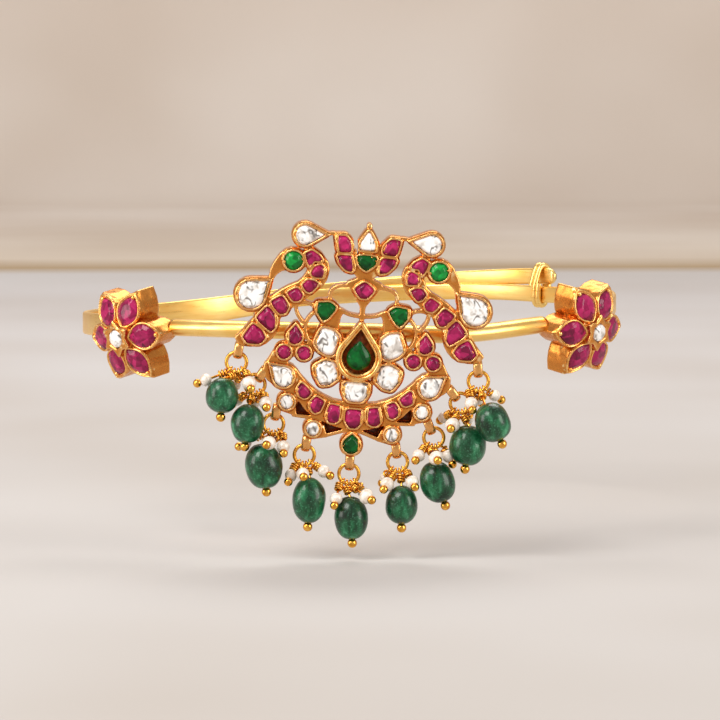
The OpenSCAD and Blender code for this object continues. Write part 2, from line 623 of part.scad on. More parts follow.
ring_hang = bail_start + bail_run + bail_in + 1.1;

// A ring hangs straight out of its bail
function bail_end(place) = on_pendant(concat(
    [place[0], place[1]] + (bail_start + bail_run) * polar(place[2]), [lip_top / 2]));
function ring_direction(place) = place[2] - pendant_lean;
function ring_center(place) = let (a = ring_direction(place))
    bail_end(place) + (bail_in + 1.1) * [cos(a), 0, sin(a)];
function ring_place(c, a, r) = c + r * [sin(a), 0, -cos(a)];

eye_wire = pin_wire + 0.03;
eye_center_r = ring_r - ring_wire - eye_wire - gap + eye_r;
bore_r = pin_wire + gap;

function pin_start(d, k) = ring_place(ring_center(d[BAIL]), d[EYES][k], eye_center_r + eye_r);
function bead_center(d) = [d[BEAD][0], d[BEAD][1], d[BEAD][2] + pendant_lift];
function pearl_center(row) = [row[0], row[1], row[2] + pendant_lift];
function along(from, to, extra) = to + (to - from) / norm(to - from) * extra;

// A pin: eye round the jump ring, straight stem and ball end
module pin(d, k, target, reach, ball) {
    c = ring_center(d[BAIL]);
    a = d[EYES][k];
    start = pin_start(d, k);
    end = along(start, target, reach);
    translate(ring_place(c, a, eye_center_r)) rotate([0, 90 - a, 0]) torus(eye_r, eye_wire);
    rod(start, end, pin_wire);
    translate(end) sphere(ball);
}

module findings(d) {
    color(wire_gold) {
        translate(ring_center(d[BAIL])) rotate([90, 0, 0]) torus(ring_r, ring_wire);
        pin(d, 0, bead_center(d), d[BEAD][4] / 2 + bead_ball + 0.05, bead_ball);
        for (k = [0:len(d[PEARLS]) - 1]) let (row = d[PEARLS][k])
            pin(d, k + 1, pearl_center(row), row[3] + pearl_ball + 0.08, pearl_ball);
    }
}

bead_steps = 12;
// A drilled bead, a little fuller than an ellipse
module bead(d) {
    w = d[BEAD][3];
    h = d[BEAD][4];
    from = pin_start(d, 0);
    color(bead_green)
        translate(bead_center(d))
            rotate(aim(bead_center(d) - from))
                rotate_extrude()
                    polygon(concat(
                        [[bore_r, -bead_end(h, w)]],
                        [for (i = [1:bead_steps - 1]) let (a = -90 + 180 * i / bead_steps)
                            [w / 2 * pow(cos(a), 0.92), h / 2 * sin(a)]],
                        [[bore_r, bead_end(h, w)]]));
}
function bead_end(h, w) = h / 2 * 0.995;

module pearls(d) {
    color(pearl_cream)
        for (k = [0:len(d[PEARLS]) - 1]) let (row = d[PEARLS][k], c = pearl_center(row))
            translate(c)
                rotate(aim(c - pin_start(d, k + 1)))
                    difference() {
                        sphere(row[3]);
                        cylinder(h = 4 * row[3], r = bore_r, center = true);
                    }
}

pendant_frame();
front_wire();
left_strap();
right_strap();
left_wrap();
right_wrap();
flower_left_cup();
flower_right_cup();
flower_left_rubies();
flower_right_rubies();
flower_left_polki();
flower_right_polki();
center_emerald();
bottom_emerald();
lotus_emerald();
leaf_emeralds();
eye_emeralds();
kite_ruby();
lotus_rubies();
neck_rubies_left();
neck_rubies_right();
trefoil_rubies_left();
trefoil_rubies_right();
crescent_rubies();
lotus_polki();
crest_polki();
wing_polki();
petal_polki();
crescent_polki();
rim_polki();
for (n = [1:len(drops)]) let (d = drops[n - 1]) {
    bead(d);
    findings(d);
    pearls(d);
}
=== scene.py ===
# Armlet: gilt peacock pendant with set stones and nine bead drops, on an open band with two flowers
import math
import bmesh
import bpy
from mathutils import Matrix, Vector
from mathutils import noise


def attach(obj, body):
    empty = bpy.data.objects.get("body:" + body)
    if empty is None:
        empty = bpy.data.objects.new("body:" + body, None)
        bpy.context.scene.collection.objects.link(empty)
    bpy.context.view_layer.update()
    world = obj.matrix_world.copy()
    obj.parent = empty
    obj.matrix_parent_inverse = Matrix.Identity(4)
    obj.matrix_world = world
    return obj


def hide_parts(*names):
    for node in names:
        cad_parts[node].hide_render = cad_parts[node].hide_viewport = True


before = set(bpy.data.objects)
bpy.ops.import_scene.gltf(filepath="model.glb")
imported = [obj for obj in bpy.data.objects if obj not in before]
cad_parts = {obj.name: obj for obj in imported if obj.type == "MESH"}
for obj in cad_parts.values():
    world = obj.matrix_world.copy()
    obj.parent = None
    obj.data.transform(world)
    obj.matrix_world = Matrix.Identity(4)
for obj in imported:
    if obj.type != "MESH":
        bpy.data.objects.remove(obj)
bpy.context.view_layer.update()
mm = 0.001
weld = 0.002  # points of the solids that are closer than this, in millimetres, are one
bothSides = ((-1, "left"), (1, "right"))
print("frame loaded")

# Small helpers


def linear(hexText):
    made = []
    for i in (0, 2, 4):
        value = int(hexText[i:i + 2], 16) / 255
        made.append(value / 12.92 if value <= 0.04045 else ((value + 0.055) / 1.055) ** 2.4)
    return (*made, 1.0)


def fillIn(tree, node, values=None, links=None):
    # in links, a node stands for its first output
    for socket, value in (values or {}).items():
        node.inputs[socket].default_value = value
    for socket, source in (links or {}).items():
        tree.links.new(source.outputs[0] if isinstance(source, bpy.types.Node) else source,
                       node.inputs[socket])


def addNode(tree, kind, values=None, links=None, stops=(), **settings):
    # the stops of a colour ramp are hex colours or shares
    made = tree.nodes.new(kind)
    for name, value in settings.items():
        setattr(made, name, value)
    if stops:
        points = made.color_ramp.elements
        while len(points) < len(stops):
            points.new(0.5)
        for point, (at, tone) in zip(points, stops):
            point.position = at
            point.color = linear(tone) if isinstance(tone, str) else (tone, tone, tone, 1)
    fillIn(tree, made, values, links)
    return made


def newObject(name, mesh):
    made = bpy.data.objects.new(name, mesh)
    bpy.context.scene.collection.objects.link(made)
    return made


def meshFrom(name, points, faces=(), edges=()):
    # points are in millimetres
    mesh = bpy.data.meshes.new(name)
    mesh.from_pydata([Vector(p) * mm for p in points], edges, faces)
    mesh.update()
    return mesh


def settle(obj):
    # what the modifiers show becomes the plain mesh
    graph = bpy.context.evaluated_depsgraph_get()
    made = bpy.data.meshes.new_from_object(obj.evaluated_get(graph))
    obj.modifiers.clear()
    obj.data = made
    return obj


def outward(obj):
    # faces point outwards and the shading is smooth
    shape = bmesh.new()
    shape.from_mesh(obj.data)
    bmesh.ops.recalc_face_normals(shape, faces=shape.faces)
    if shape.calc_volume(signed=True) < 0:
        bmesh.ops.reverse_faces(shape, faces=shape.faces)
    for face in shape.faces:
        face.smooth = True
    shape.to_mesh(obj.data)
    shape.free()
    return obj


def finishPiece(obj, material, slotName, *nodes):
    obj.data.materials.clear()
    obj.data.materials.append(material)
    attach(obj, "root")
    if nodes:
        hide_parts(*nodes)
    return obj


def mergedCopy(name, *nodes):
    shape = bmesh.new()
    for node in nodes:
        shape.from_mesh(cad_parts[node].data)
    bmesh.ops.remove_doubles(shape, verts=shape.verts, dist=weld * mm)
    mesh = bpy.data.meshes.new(name)
    shape.to_mesh(mesh)
    shape.free()
    return newObject(name, mesh)


def joined(name, parts):
    shape = bmesh.new()
    for part in parts:
        shape.from_mesh(part.data)
        bpy.data.objects.remove(part)
    mesh = bpy.data.meshes.new(name)
    shape.to_mesh(mesh)
    shape.free()
    return newObject(name, mesh)


def skinned(name, rings):
    # closed skin through rings of equal length
    count = len(rings[0])
    points = [p for ring in rings for p in ring]
    faces = []
    for j in range(len(rings) - 1):
        for i in range(count):
            a, b = j * count + i, j * count + (i + 1) % count
            faces.append((a, b, b + count, a + count))
    faces.append(tuple(range(count)))
    faces.append(tuple(range(len(points) - count, len(points))))
    return outward(newObject(name, meshFrom(name, points, faces)))


# Geometry Nodes trees


def newTree(name, **inputs):
    tree = bpy.data.node_groups.new(name, "GeometryNodeTree")
    tree.interface.new_socket("Geometry", in_out="INPUT", socket_type="NodeSocketGeometry")
    for label, kind in inputs.items():
        tree.interface.new_socket(label, in_out="INPUT", socket_type=kind)
    tree.interface.new_socket("Geometry", in_out="OUTPUT", socket_type="NodeSocketGeometry")
    return tree, tree.nodes.new("NodeGroupInput").outputs


def closeTree(tree, given, made):
    # the export drops instances, so they are made real here
    real = addNode(tree, "GeometryNodeRealizeInstances", links={"Geometry": made})
    soft = addNode(tree, "GeometryNodeSetShadeSmooth", links={"Geometry": real.outputs[0]})
    painted = addNode(tree, "GeometryNodeSetMaterial",
                      links={"Geometry": soft.outputs[0], "Material": given["finish"]})
    addNode(tree, "NodeGroupOutput", links={"Geometry": painted.outputs[0]})
    return tree


def runTree(obj, tree, **values):
    step = obj.modifiers.new(tree.name, "NODES")
    step.node_group = tree
    names = {}
    for item in tree.interface.items_tree:
        if item.item_type == "SOCKET" and item.in_out == "INPUT":
            names[item.name] = item.identifier
    for label, value in values.items():
        step[names[label]] = value
    return settle(obj)


def roundWireTree():
    tree, given = newTree("roundWire", radius="NodeSocketFloat", sides="NodeSocketInt",
                          finish="NodeSocketMaterial")
    path = addNode(tree, "GeometryNodeMeshToCurve", links={"Mesh": given["Geometry"]})
    section = addNode(tree, "GeometryNodeCurvePrimitiveCircle",
                      links={"Resolution": given["sides"], "Radius": given["radius"]})
    tube = addNode(tree, "GeometryNodeCurveToMesh", {"Fill Caps": True},
                   {"Curve": path.outputs[0], "Profile Curve": section.outputs[0]})
    return closeTree(tree, given, tube.outputs[0])


def ballTree():
    # a ball on each point, as large as the point's own size says, turned any way and a little uneven
    tree, given = newTree("meltedBalls", segments="NodeSocketInt", uneven="NodeSocketFloat",
                          seed="NodeSocketInt", finish="NodeSocketMaterial")
    ball = addNode(tree, "GeometryNodeMeshUVSphere", {"Radius": 1.0, "Rings": 12},
                   {"Segments": given["segments"]})
    size = addNode(tree, "GeometryNodeInputNamedAttribute", {"Name": "size"}, data_type="FLOAT")
    turn = addNode(tree, "FunctionNodeRandomValue", {1: (6.28, 6.28, 6.28)},
                   {"Seed": given["seed"]}, data_type="FLOAT_VECTOR")
    least = addNode(tree, "ShaderNodeMath", {0: 1.0}, {1: given["uneven"]}, operation="SUBTRACT")
    gathered = addNode(tree, "ShaderNodeCombineXYZ",
                       links={"X": least.outputs[0], "Y": least.outputs[0], "Z": least.outputs[0]})
    stretch = addNode(tree, "FunctionNodeRandomValue", {1: (1.0, 1.0, 1.0)},
                      {0: gathered.outputs[0], "Seed": given["seed"]}, data_type="FLOAT_VECTOR")
    scale = addNode(tree, "ShaderNodeVectorMath", links={0: stretch.outputs[0], "Scale": size.outputs[0]},
                    operation="SCALE")
    placed = addNode(tree, "GeometryNodeInstanceOnPoints",
                     links={"Points": given["Geometry"], "Instance": ball.outputs[0],
                            "Rotation": turn.outputs[0], "Scale": scale.outputs[0]})
    return closeTree(tree, given, placed.outputs[0])


wireTree = roundWireTree()
ballsTree = ballTree()


def tube(name, points, radius, sides, material, closed=False):
    count = len(points)
    edges = [(i, i + 1) for i in range(count - 1)] + ([(count - 1, 0)] if closed else [])
    obj = newObject(name, meshFrom(name, points, edges=edges))
    runTree(obj, wireTree, radius=radius * mm, sides=sides, finish=material)
    return outward(obj)


def balls(name, rows, material, segments=16, uneven=0.0, seed=1):
    # rows hold a middle and a radius in millimetres
    mesh = meshFrom(name, [row[0] for row in rows])
    sizes = mesh.attributes.new("size", "FLOAT", "POINT")
    for i, row in enumerate(rows):
        sizes.data[i].value = row[1] * mm
    obj = newObject(name, mesh)
    return runTree(obj, ballsTree, segments=segments, uneven=uneven, seed=seed, finish=material)


print("tools ready")

# Materials


def newMaterial(name, roughness, metallic=0.0, ior=None):
    made = bpy.data.materials.new(name)
    made.use_nodes = True
    tree = made.node_tree
    tree.nodes.clear()
    shader = addNode(tree, "ShaderNodeBsdfPrincipled", {"Roughness": roughness, "Metallic": metallic})
    if ior:
        shader.inputs["IOR"].default_value = ior
    addNode(tree, "ShaderNodeOutputMaterial", links={"Surface": shader.outputs[0]})
    place = addNode(tree, "ShaderNodeTexCoord").outputs["Object"]
    return made, tree, shader, place


def perMetre(size):
    # how many lumps of this size in millimetres fit in a metre
    return 1 / (size * mm)


def castGilt():
    # Cast silver with a matt gilt finish: warm orange gold, paler on worn edges; the coppery dark in the
    # hollows is partly tarnish and partly painted shade
    made, tree, shader, place = newMaterial("matt gilt casting", 0.3, 1.0)
    height = addNode(tree, "ShaderNodeNewGeometry").outputs["Pointiness"]
    # painted shade: the hollows darken to near black, on top of tarnish; raised edges are paler with wear
    wearAndPaintedShade = addNode(tree, "ShaderNodeValToRGB", links={"Fac": height},
                   stops=((0.44, "4A1A05"), (0.47, "BC7430"), (0.51, "DE9648"), (0.6, "FFDC9C")))
    blotches = addNode(tree, "ShaderNodeTexNoise", {"Scale": perMetre(2.2), "Detail": 3}, {"Vector": place})
    tone = addNode(tree, "ShaderNodeValToRGB", links={"Fac": blotches},
                   stops=((0.3, "E2A468"), (0.7, "FFFFFF")))
    # in a Mix of colours, input 0 is the share, 6 and 7 are the colours, and output 2 is the result
    gilt = addNode(tree, "ShaderNodeMix", {0: 0.3}, {6: wearAndPaintedShade, 7: tone},
                   data_type="RGBA", blend_type="MULTIPLY").outputs[2]
    handled = addNode(tree, "ShaderNodeTexNoise", {"Scale": perMetre(0.6)}, {"Vector": place})
    rough = addNode(tree, "ShaderNodeValToRGB", links={"Fac": handled}, stops=((0.3, 0.2), (0.7, 0.34)))
    # hand filed waves, with casting grain drawn at 0.3 mm, coarser than the real 0.05 mm so that it shows
    filed = addNode(tree, "ShaderNodeTexNoise", {"Scale": perMetre(1.9), "Detail": 1}, {"Vector": place})
    sand = addNode(tree, "ShaderNodeTexNoise", {"Scale": perMetre(0.3)}, {"Vector": place})
    waves = addNode(tree, "ShaderNodeMix", {0: 0.02}, {6: filed, 7: sand}, data_type="RGBA").outputs[2]
    relief = addNode(tree, "ShaderNodeBump", {"Strength": 0.8, "Distance": 0.15 * mm}, {"Height": waves})
    fillIn(tree, shader, links={"Base Color": gilt, "Roughness": rough, "Normal": relief})
    return made


def rubbedEdge():
    # The raised edge of a bezel, rubbed bright when the stone was set
    made, tree, shader, place = newMaterial("rubbed bezel edge", 0.22, 1.0)
    blotches = addNode(tree, "ShaderNodeTexNoise", {"Scale": perMetre(0.8)}, {"Vector": place})
    tone = addNode(tree, "ShaderNodeValToRGB", links={"Fac": blotches},
                   stops=((0.3, "EC9E48"), (0.7, "FFD488")))
    rubs = addNode(tree, "ShaderNodeTexNoise", {"Scale": perMetre(0.5)}, {"Vector": place})
    rough = addNode(tree, "ShaderNodeValToRGB", links={"Fac": rubs}, stops=((0.3, 0.16), (0.7, 0.32)))
    fillIn(tree, shader, links={"Base Color": tone, "Roughness": rough})
    return made


def wellFilling(name, roughness, metallic, size, dark, pale):
    # mottled, with no shine of its own
    made, tree, shader, place = newMaterial(name, roughness, metallic)
    mottle = addNode(tree, "ShaderNodeTexNoise", {"Scale": perMetre(size), "Detail": 3}, {"Vector": place})
    tone = addNode(tree, "ShaderNodeValToRGB", links={"Fac": mottle}, stops=((0.3, dark), (0.7, pale)))
    fillIn(tree, shader, links={"Base Color": tone})
    return made


def brushedGold():
    # Gilt brass strap and wire, rubbed smooth lengthwise: bright yellow, with faint soft streaks
    made, tree, shader, place = newMaterial("hand brushed gold", 0.3, 1.0)
    level = addNode(tree, "ShaderNodeMapping", {"Scale": (0.06, 0.06, 1.0)}, {"Vector": place})
    streak = addNode(tree, "ShaderNodeTexNoise", {"Scale": perMetre(0.3)}, {"Vector": level})
    blotches = addNode(tree, "ShaderNodeTexNoise", {"Scale": perMetre(6)}, {"Vector": place})
    tone = addNode(tree, "ShaderNodeValToRGB", links={"Fac": blotches},
                   stops=((0.3, "F8C560"), (0.7, "FFD986")))
    drawn = addNode(tree, "ShaderNodeValToRGB", links={"Fac": streak},
                    stops=((0.3, "EDB158"), (0.7, "FFE6A8")))
    brushed = addNode(tree, "ShaderNodeMix", {0: 0.18}, {6: tone, 7: drawn}, data_type="RGBA").outputs[2]
    rough = addNode(tree, "ShaderNodeValToRGB", links={"Fac": streak}, stops=((0.3, 0.27), (0.7, 0.36)))
    relief = addNode(tree, "ShaderNodeBump", {"Strength": 0.4, "Distance": 0.004 * mm}, {"Height": streak})
    fillIn(tree, shader, links={"Base Color": brushed, "Roughness": rough, "Normal": relief})
    return made


def drawnWire():
    # Drawn gilt wire, left bright: smooth, a little uneven where it was pinched
    made, tree, shader, place = newMaterial("bright drawn wire", 0.2, 1.0)
    blotches = addNode(tree, "ShaderNodeTexNoise", {"Scale": perMetre(0.6)}, {"Vector": place})
    tone = addNode(tree, "ShaderNodeValToRGB", links={"Fac": blotches},
                   stops=((0.3, "D48A2C"), (0.7, "F8C25A")))
    pinched = addNode(tree, "ShaderNodeTexNoise", {"Scale": perMetre(0.4)}, {"Vector": place})
    rough = addNode(tree, "ShaderNodeValToRGB", links={"Fac": pinched}, stops=((0.3, 0.12), (0.7, 0.26)))
    fillIn(tree, shader, links={"Base Color": tone, "Roughness": rough})
    return made


def darkRim(tree, colour, edgeColour, share):
    # the sharp rim of a stone looks darker than its top, because the setting shades it
    height = addNode(tree, "ShaderNodeNewGeometry").outputs["Pointiness"]
    rim = addNode(tree, "ShaderNodeValToRGB", links={"Fac": height}, stops=((0.56, 0.0), (0.66, share)))
    return addNode(tree, "ShaderNodeMix", {7: linear(edgeColour)}, {0: rim, 6: colour},
                   data_type="RGBA").outputs[2]


def setStone(name, look):
    # Polished stone over foil in a closed setting: its colour changes in soft clouds as the foil folds, and
    # its bright and dark patches are painted reflections of its back facets
    made, tree, shader, place = newMaterial(name, look["roughness"], 0.0, look["ior"])
    deep, body, bright = look["deep"], look["body"], look["bright"]
    # painted reflection: bright and dark cells stand for light off the back facets
    cells = addNode(tree, "ShaderNodeTexVoronoi", {"Scale": perMetre(look["patch"]), "Randomness": 1.0},
                    {"Vector": place})
    flash = addNode(tree, "ShaderNodeSeparateColor", links={"Color": cells.outputs["Color"]})
    patch = addNode(tree, "ShaderNodeValToRGB", links={"Fac": flash},
                    stops=((0.1, deep), (0.5, body), (0.95, bright)))
    folds = addNode(tree, "ShaderNodeTexNoise",
                    {"Scale": perMetre(look["cloud"]), "Detail": 3, "Distortion": 0.8}, {"Vector": place})
    cloud = addNode(tree, "ShaderNodeValToRGB", links={"Fac": folds},
                    stops=((0.3, deep), (0.5, body), (0.72, bright)))
    colour = addNode(tree, "ShaderNodeMix", {0: look["soft"]}, {6: patch, 7: cloud},
                     data_type="RGBA").outputs[2]
    waves = addNode(tree, "ShaderNodeTexNoise", {"Scale": perMetre(look["wave"]), "Detail": 1},
                    {"Vector": place})
    relief = addNode(tree, "ShaderNodeBump", {"Strength": 1.0, "Distance": look["depth"] * mm},
                     {"Height": waves})
    fillIn(tree, shader, {"Specular IOR Level": look["shine"]},
           {"Base Color": darkRim(tree, colour, look["edge"], 0.8), "Normal": relief})
    return made


def uncutDiamond():
    # Flat uncut diamond over bright foil: white, with a few thin dark reflections and a grey brown edge
    made, tree, shader, place = newMaterial("foil backed uncut diamond", 0.12, 0.2, 1.5)
    tall = addNode(tree, "ShaderNodeMapping", {"Scale": (1.0, 1.0, 0.5)}, {"Vector": place})
    glints = addNode(tree, "ShaderNodeTexNoise", {"Scale": perMetre(2.0), "Detail": 1, "Distortion": 0.6},
                     {"Vector": tall})
    line = addNode(tree, "ShaderNodeValToRGB", links={"Fac": glints},
                   stops=((0.43, "FFFFFF"), (0.47, "57514D"), (0.5, "8F8882"), (0.54, "FFFFFF")))
    spots = addNode(tree, "ShaderNodeTexNoise", {"Scale": perMetre(0.9), "Detail": 1}, {"Vector": place})
    here = addNode(tree, "ShaderNodeValToRGB", links={"Fac": spots}, stops=((0.44, 0.0), (0.56, 0.95)))
    foil = addNode(tree, "ShaderNodeTexNoise", {"Scale": perMetre(1.6), "Distortion": 0.5}, {"Vector": place})
    haze = addNode(tree, "ShaderNodeValToRGB", links={"Fac": foil},
                   stops=((0.32, "A9A097"), (0.48, "EFEAE4"), (0.58, "FFFFFF")))
    colour = addNode(tree, "ShaderNodeMix", links={0: here, 6: haze, 7: line}, data_type="RGBA").outputs[2]
    waves = addNode(tree, "ShaderNodeTexNoise", {"Scale": perMetre(1.1), "Detail": 1}, {"Vector": place})
    relief = addNode(tree, "ShaderNodeBump", {"Strength": 1.0, "Distance": 0.08 * mm}, {"Height": waves})
    fillIn(tree, shader, links={"Base Color": darkRim(tree, colour, "7A6654", 0.7), "Normal": relief})
    return made


def aventurine():
    # Tumbled green aventurine: mottled and streaked from top to bottom, under a waxy polish
    made, tree, shader, place = newMaterial("tumbled aventurine", 0.3, 0.0, 1.5)
    tall = addNode(tree, "ShaderNodeMapping", {"Scale": (1.0, 1.0, 0.5)}, {"Vector": place})
    mottle = addNode(tree, "ShaderNodeTexNoise", {"Scale": perMetre(1.1), "Detail": 8, "Distortion": 0.3},
                     {"Vector": tall})
    cloud = addNode(tree, "ShaderNodeValToRGB", links={"Fac": mottle},
                    stops=((0.3, "072C17"), (0.45, "114E2D"), (0.58, "1F6B43"), (0.74, "509C73")))
    # some beads are darker than their neighbours
    batch = addNode(tree, "ShaderNodeTexNoise", {"Scale": perMetre(6), "Detail": 1}, {"Vector": place})
    shade = addNode(tree, "ShaderNodeValToRGB", links={"Fac": batch},
                    stops=((0.4, "6F8578"), (0.6, "FFFFFF")))
    body = addNode(tree, "ShaderNodeMix", {0: 0.9}, {6: cloud, 7: shade},
                   data_type="RGBA", blend_type="MULTIPLY").outputs[2]
    mica = addNode(tree, "ShaderNodeTexNoise", {"Scale": perMetre(0.3)}, {"Vector": place})
    fleck = addNode(tree, "ShaderNodeValToRGB", links={"Fac": mica},
                    stops=((0.56, "000000"), (0.72, "63A382")))
    colour = addNode(tree, "ShaderNodeMix", {0: 0.3}, {6: body, 7: fleck},
                     data_type="RGBA", blend_type="ADD").outputs[2]
    pits = addNode(tree, "ShaderNodeTexNoise", {"Scale": perMetre(0.6)}, {"Vector": place})
    relief = addNode(tree, "ShaderNodeBump", {"Strength": 0.5, "Distance": 0.02 * mm}, {"Height": pits})
    fillIn(tree, shader, {"Specular IOR Level": 0.3, "Coat Weight": 0.3, "Coat Roughness": 0.1},
           {"Base Color": colour, "Normal": relief})
    return made


def seedPearl():
    # Freshwater seed pearl: cream white nacre, slightly uneven, with a soft shine
    made, tree, shader, place = newMaterial("seed pearl nacre", 0.28, 0.0, 1.6)
    nacre = addNode(tree, "ShaderNodeTexNoise", {"Scale": perMetre(0.7)}, {"Vector": place})
    tone = addNode(tree, "ShaderNodeValToRGB", links={"Fac": nacre},
                   stops=((0.3, "D2C3B2"), (0.6, "F2EAE0")))
    dents = addNode(tree, "ShaderNodeTexNoise", {"Scale": perMetre(0.4)}, {"Vector": place})
    relief = addNode(tree, "ShaderNodeBump", {"Strength": 0.5, "Distance": 0.02 * mm}, {"Height": dents})
    fillIn(tree, shader, {"Coat Weight": 0.4, "Coat Roughness": 0.15},
           {"Base Color": tone, "Normal": relief})
    return made


castGold = castGilt()
edgeGold = rubbedEdge()
# old copper foil and setting wax, orange brown, at the bottom of an open well
foilBrown = wellFilling("foil in an open well", 0.45, 0.3, 0.5, "3A1604", "843E12")
# painted shade: dull brown, nearly black in places, on plates in the sunk corners where shade falls
paintedShadeBrown = wellFilling("painted shade in sunk corners", 0.5, 0.0, 0.6, "3A150A", "6E2F1A")
bandGold = brushedGold()
wireGold = drawnWire()
greenBead = aventurine()
pearlCream = seedPearl()
ruby = setStone("pink red ruby", dict(
    roughness=0.17, ior=1.5, shine=0.32, patch=1.1, cloud=1.3, soft=0.5, wave=1.0, depth=0.05,
    deep="58072A", body="8E0D45", bright="C62A6C", edge="360417"))
emerald = setStone("deep green emerald", dict(
    roughness=0.16, ior=1.5, shine=0.22, patch=1.5, cloud=1.3, soft=0.6, wave=1.2, depth=0.03,
    deep="022E0E", body="04541E", bright="087430", edge="031C0A"))
brightEmerald = setStone("clear green emerald", dict(
    roughness=0.12, ior=1.5, shine=0.3, patch=0.9, cloud=1.2, soft=0.4, wave=0.8, depth=0.04,
    deep="034A1A", body="087A2E", bright="16A845", edge="033212"))
polki = uncutDiamond()
print("materials ready")

# Places shared with the frame: the pendant's tilted plane and the line of the band

# lengths are in millimetres and turns in degrees, here and below
pendant = dict(lean=4.7, nod=4, pivotUp=3.55, lift=0.75, back=46.1)
band = dict(radius=46, roll=1.8, twist=1.05, dip=0.7, dipAt=21, dipSize=13, wireHeight=2.8, wireDepth=1.9,
            strap=0.9, leftWidth=3.8, rightWidth=3.2, tipWidth=2.9, taperOver=60,
            split=1.6, splitOver=45, gap=0.1, leftWrapAt=200, rightWrapAt=130, wrapWire=1.0,
            belly=0.8, bellyDrop=0.9, bellyAt=143, bellySize=22)
flower = dict(place=52, reach=8.5, inner=2.0, width=4.7, back=44.4, nod=10, drop=0.6, face=7.5,
              turns={-1: 4.5, 1: 1.5}, height=3.95, slope=15.5, rightUnder=2.9)


def turned(degrees, axis):
    return Matrix.Rotation(math.radians(degrees), 4, axis)


pendantPlace = (Matrix.Translation(Vector((0, -pendant["back"], pendant["lift"])) * mm)
                @ turned(pendant["lean"], "Y") @ turned(90 + pendant["nod"], "X")
                @ Matrix.Translation(Vector((0, -pendant["pivotUp"], 0)) * mm))


def bandRise(azimuth):
    a = math.radians(azimuth)
    return (band["roll"] * math.sin(a) - band["twist"] * math.sin(2 * a)
            - band["dip"] * math.exp(-((azimuth - band["dipAt"]) / band["dipSize"]) ** 2))


def bandPoint(azimuth, out, up):
    a = math.radians(azimuth)
    r = band["radius"] + out
    return Vector((r * math.sin(a), -r * math.cos(a), bandRise(azimuth) + up))


def flowerPlace(side):
    azimuth = side * flower["place"]
    return (turned(azimuth, "Z")
            @ Matrix.Translation(Vector((0, -flower["back"], bandRise(azimuth) - flower["drop"])) * mm)
            @ turned(-side * flower["face"], "Z") @ turned(90 + flower["nod"], "X")
            @ turned(flower["turns"][side], "Z"))


def eased(t):
    t = min(1, max(0, t))
    return t * t * (3 - 2 * t)


# Cast pieces: the frame's solids with their edges softened, as they leave the mould


def swollen(obj, by):
    # every face moves out a little, to undo what softening took away
    shape = bmesh.new()
    shape.from_mesh(obj.data)
    bmesh.ops.recalc_face_normals(shape, faces=shape.faces)
    for point in shape.verts:
        point.co += point.normal * by * mm
    shape.to_mesh(obj.data)
    shape.free()


def softened(name, nodes, place, voxel, rounds, most, swell):
    # remeshed square to its own plane, so that flat faces stay flat
    obj = mergedCopy(name, *nodes)
    obj.data.transform(place.inverted())
    step = obj.modifiers.new("voxels", "REMESH")
    step.mode = "VOXEL"
    step.voxel_size = voxel * mm
    step.adaptivity = 0
    step = obj.modifiers.new("soften", "SMOOTH")
    step.factor = 0.5
    step.iterations = rounds
    settle(obj)
    count = sum(len(p.vertices) - 2 for p in obj.data.polygons)
    if count > most:
        step = obj.modifiers.new("thin", "DECIMATE")
        step.ratio = most / count
        settle(obj)
    swollen(obj, swell)
    obj.data.transform(place)
    print(name, count, "triangles before thinning")
    return outward(obj)


casting = dict(frameVoxel=0.13, cupVoxel=0.12, rounds=4, cupRounds=22, swell=0.06, frameMost=190000,
               cupMost=150000)
frameCast = softened("pendantCasting", ["pendant_frame"], pendantPlace, casting["frameVoxel"],
                     casting["rounds"], casting["frameMost"], casting["swell"])
finishPiece(frameCast, castGold, "cast_gold", "pendant_frame")
for side, word in bothSides:
    # smoother than the pendant, and swollen more for it
    cup = softened(word + "FlowerCasting", [f"flower_{word}_cup"], flowerPlace(side),
                   casting["cupVoxel"], casting["cupRounds"], casting["cupMost"], casting["swell"] * 2)
    finishPiece(cup, castGold, "cast_gold", f"flower_{word}_cup")
print("castings done")

# Stones

cabochon = dict(voxel=0.11, rounds=3, centerRounds=36, most=60000, swell=0.24)
cutStone = dict(bevel=0.14, segments=2, flat=0.02, sharp=0.3, swell=0.16)


def cabochons(name, node, place, material, slotName, rounds=cabochon["rounds"]):
    stone = softened(name, [node], place, cabochon["voxel"], rounds, cabochon["most"], cabochon["swell"])
    return finishPiece(stone, material, slotName, node)


def flatStones(name, node, material, slotName):
    # uncut stones keep a few flat faces and a thin softened edge
    obj = mergedCopy(name, node)
    shape = bmesh.new()
    shape.from_mesh(obj.data)
    bmesh.ops.dissolve_limit(shape, angle_limit=cutStone["flat"], verts=shape.verts, edges=shape.edges)
    shape.to_mesh(obj.data)
    shape.free()
    step = obj.modifiers.new("edge", "BEVEL")
    step.width = cutStone["bevel"] * mm
    step.segments = cutStone["segments"]
    step.limit_method = "ANGLE"
    step.angle_limit = cutStone["sharp"]
    settle(obj)
    swollen(obj, cutStone["swell"])
    return finishPiece(obj, material, slotName, node)


redNodes = ["kite_ruby", "lotus_rubies", "neck_rubies_left", "neck_rubies_right", "trefoil_rubies_left",
            "trefoil_rubies_right", "crescent_rubies"]
greenNodes = ["center_emerald", "bottom_emerald", "lotus_emerald", "leaf_emeralds", "eye_emeralds"]
clearNodes = ["lotus_polki", "crest_polki", "wing_polki", "petal_polki", "crescent_polki", "rim_polki"]


def camel(node):
    first, *rest = node.split("_")
    return first + "".join(word.capitalize() for word in rest)


